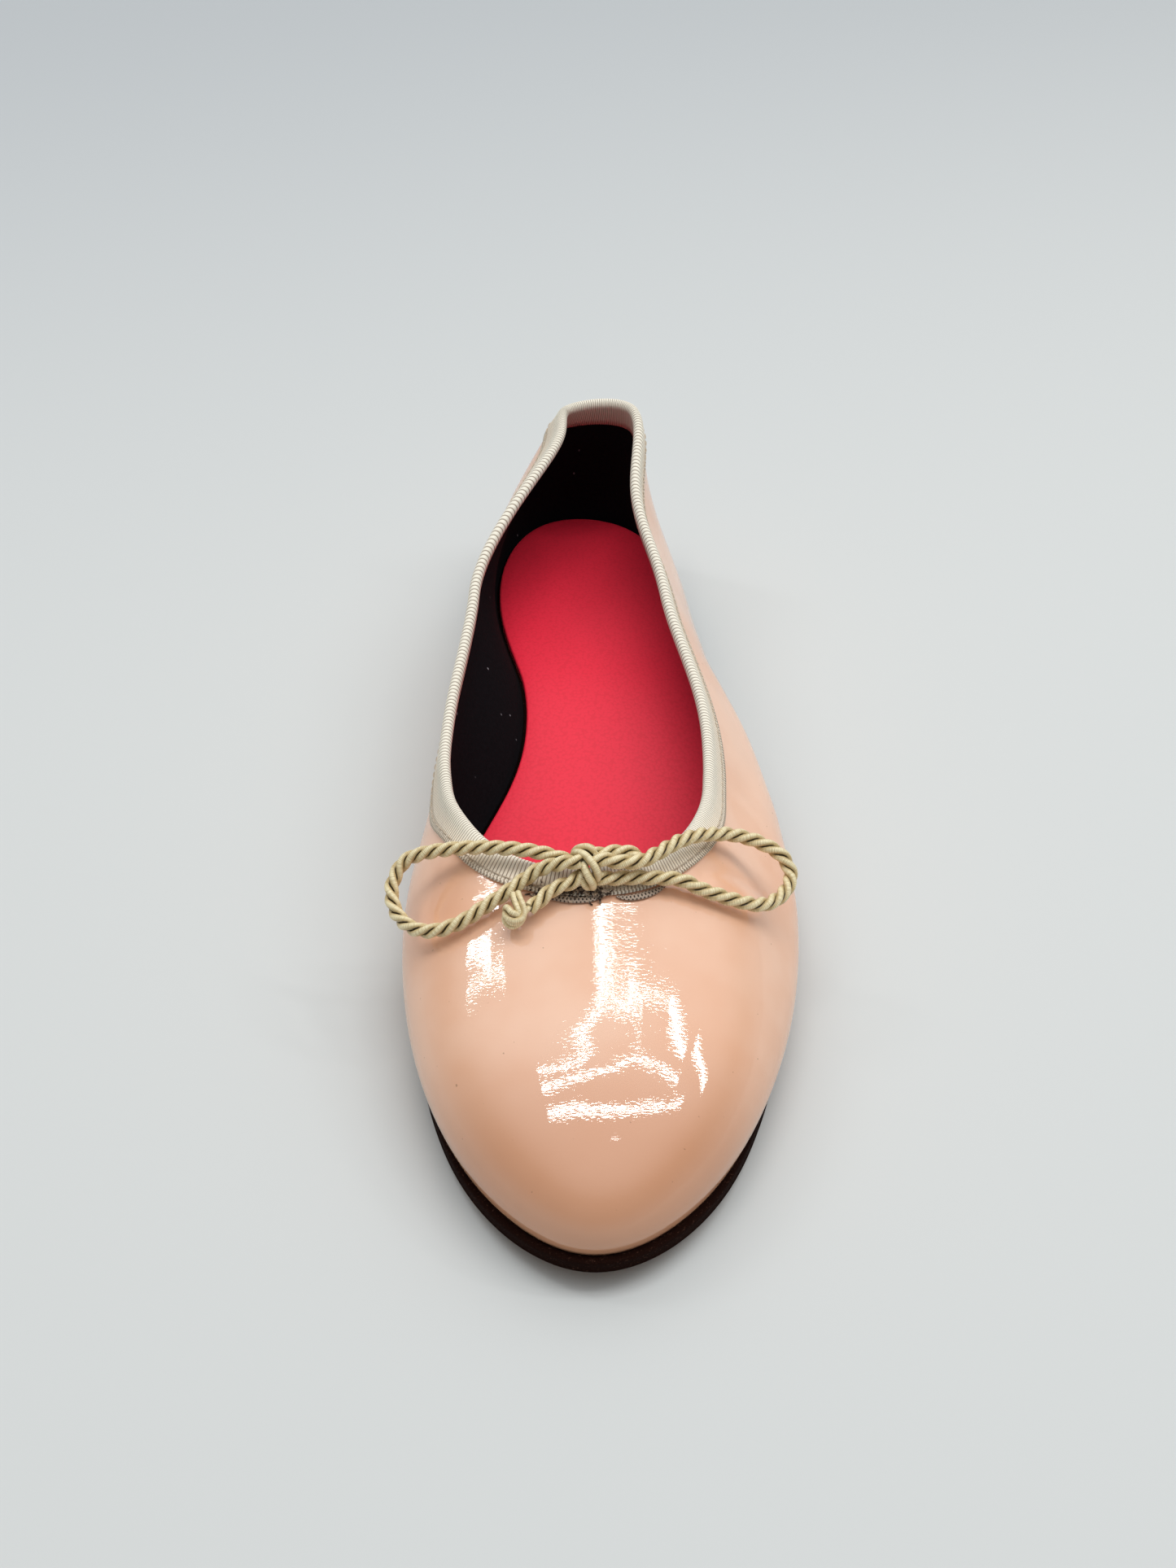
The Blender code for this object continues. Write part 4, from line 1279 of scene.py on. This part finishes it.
def make_stage(settings):
    bm = bmesh.new()
    bmesh.ops.create_grid(bm, x_segments=FLOOR_CELLS, y_segments=FLOOR_CELLS, size=FLOOR_SIZE)
    mesh = bpy.data.meshes.new("floor")
    bm.to_mesh(mesh)
    bm.free()
    floor = bpy.data.objects.new("floor", mesh)
    link(floor)
    finish = Finish("floor_paper")
    across, back, _ = finish.axes(finish.position())
    # Painted shade: the floor darkens behind the shoe and towards its left.
    far = finish.step(back - across * 0.35, 0.05, 0.65)
    colour = finish.mix(far, settings.floor, settings.far_floor_painted_shade)
    finish.set(Base_Color=colour, Roughness=0.9, Specular_IOR_Level=0.2)
    mesh.materials.append(finish.material)
    for lamp in LAMPS:
        strip_lamp(lamp)
    soft_room()
    bpy.context.scene.view_settings.view_transform = "Standard"
    place_camera(settings)


def place_camera(settings):
    data = bpy.data.cameras.new("photo_view")
    data.sensor_fit = "VERTICAL"
    data.sensor_height = SENSOR
    data.lens = settings.focal / PHOTO_HEIGHT * SENSOR
    data.clip_start = 0.01
    camera = bpy.data.objects.new("photo_view", data)
    pitch, yaw, roll = settings.pitch, settings.yaw, settings.roll
    forward = Vector((-math.sin(yaw) * math.cos(pitch), math.cos(yaw) * math.cos(pitch), -math.sin(pitch)))
    right = Vector((math.cos(yaw), math.sin(yaw), 0.0))
    up = right.cross(forward)
    level = math.cos(roll) * right + math.sin(roll) * up
    upright = math.cos(roll) * up - math.sin(roll) * right
    turn = Matrix((level, upright, -forward)).transposed().to_4x4()
    camera.matrix_world = Matrix.Translation(Vector(settings.spot) + Vector(ORIGIN)) @ turn
    link(camera)
    bpy.context.scene.camera = camera


# Operators and panel

class FLAT_OT_upper(bpy.types.Operator):
    """Make the patent leather upper and its lining"""
    bl_idname = "flat.upper"
    bl_label = "Upper and lining"

    def execute(self, context):
        make_upper(context.scene.flat_upper)
        make_lining(context.scene.flat_upper)
        return {"FINISHED"}


class FLAT_OT_ribbon(bpy.types.Operator):
    """Make the folded ribbon and its stitches"""
    bl_idname = "flat.ribbon"
    bl_label = "Ribbon"

    def execute(self, context):
        make_ribbon(context.scene.flat_ribbon)
        make_stitches(context.scene.flat_ribbon)
        make_frays()
        make_folded_ends()
        return {"FINISHED"}


class FLAT_OT_bow(bpy.types.Operator):
    """Make the cord bow"""
    bl_idname = "flat.bow"
    bl_label = "Bow"

    def execute(self, context):
        make_bow(context.scene.flat_bow)
        return {"FINISHED"}


class FLAT_OT_insole(bpy.types.Operator):
    """Make the insole"""
    bl_idname = "flat.insole"
    bl_label = "Insole"

    def execute(self, context):
        make_insole(context.scene.flat_insole)
        return {"FINISHED"}


class FLAT_OT_sole(bpy.types.Operator):
    """Make the outsole and the heel"""
    bl_idname = "flat.sole"
    bl_label = "Sole and heel"

    def execute(self, context):
        make_sole(context.scene.flat_sole)
        return {"FINISHED"}


class FLAT_OT_stage(bpy.types.Operator):
    """Make the floor, the lights and the camera"""
    bl_idname = "flat.stage"
    bl_label = "Stage"

    def execute(self, context):
        make_stage(context.scene.flat_stage)
        return {"FINISHED"}


OPERATORS = (FLAT_OT_stage, FLAT_OT_bow, FLAT_OT_upper, FLAT_OT_ribbon, FLAT_OT_insole, FLAT_OT_sole)
SETTINGS = {
    "flat_upper": UpperSettings,
    "flat_ribbon": RibbonSettings,
    "flat_bow": BowSettings,
    "flat_insole": InsoleSettings,
    "flat_sole": SoleSettings,
    "flat_stage": StageSettings,
}


class FLAT_PT_panel(bpy.types.Panel):
    """The shoe's pieces and their settings"""
    bl_idname = "FLAT_PT_panel"
    bl_label = "Ballet Flat"
    bl_space_type = "VIEW_3D"
    bl_region_type = "UI"
    bl_category = "Ballet Flat"

    def draw(self, context):
        for operator in OPERATORS:
            self.layout.operator(operator.bl_idname)
        for name, group in SETTINGS.items():
            box = self.layout.box()
            for key in group.__annotations__:
                box.prop(getattr(context.scene, name), key)


def register():
    for group in SETTINGS.values():
        bpy.utils.register_class(group)
    for name, group in SETTINGS.items():
        setattr(bpy.types.Scene, name, bpy.props.PointerProperty(type=group))
    for operator in OPERATORS:
        bpy.utils.register_class(operator)
    bpy.utils.register_class(FLAT_PT_panel)


def unregister():
    bpy.utils.unregister_class(FLAT_PT_panel)
    for operator in OPERATORS:
        bpy.utils.unregister_class(operator)
    for name in SETTINGS:
        delattr(bpy.types.Scene, name)
    for group in SETTINGS.values():
        bpy.utils.unregister_class(group)


def main():
    register()
    bpy.ops.flat.stage()
    bpy.ops.flat.bow()
    bpy.ops.flat.upper()
    bpy.ops.flat.ribbon()
    bpy.ops.flat.insole()
    bpy.ops.flat.sole()


if __name__ == "__main__":
    main()
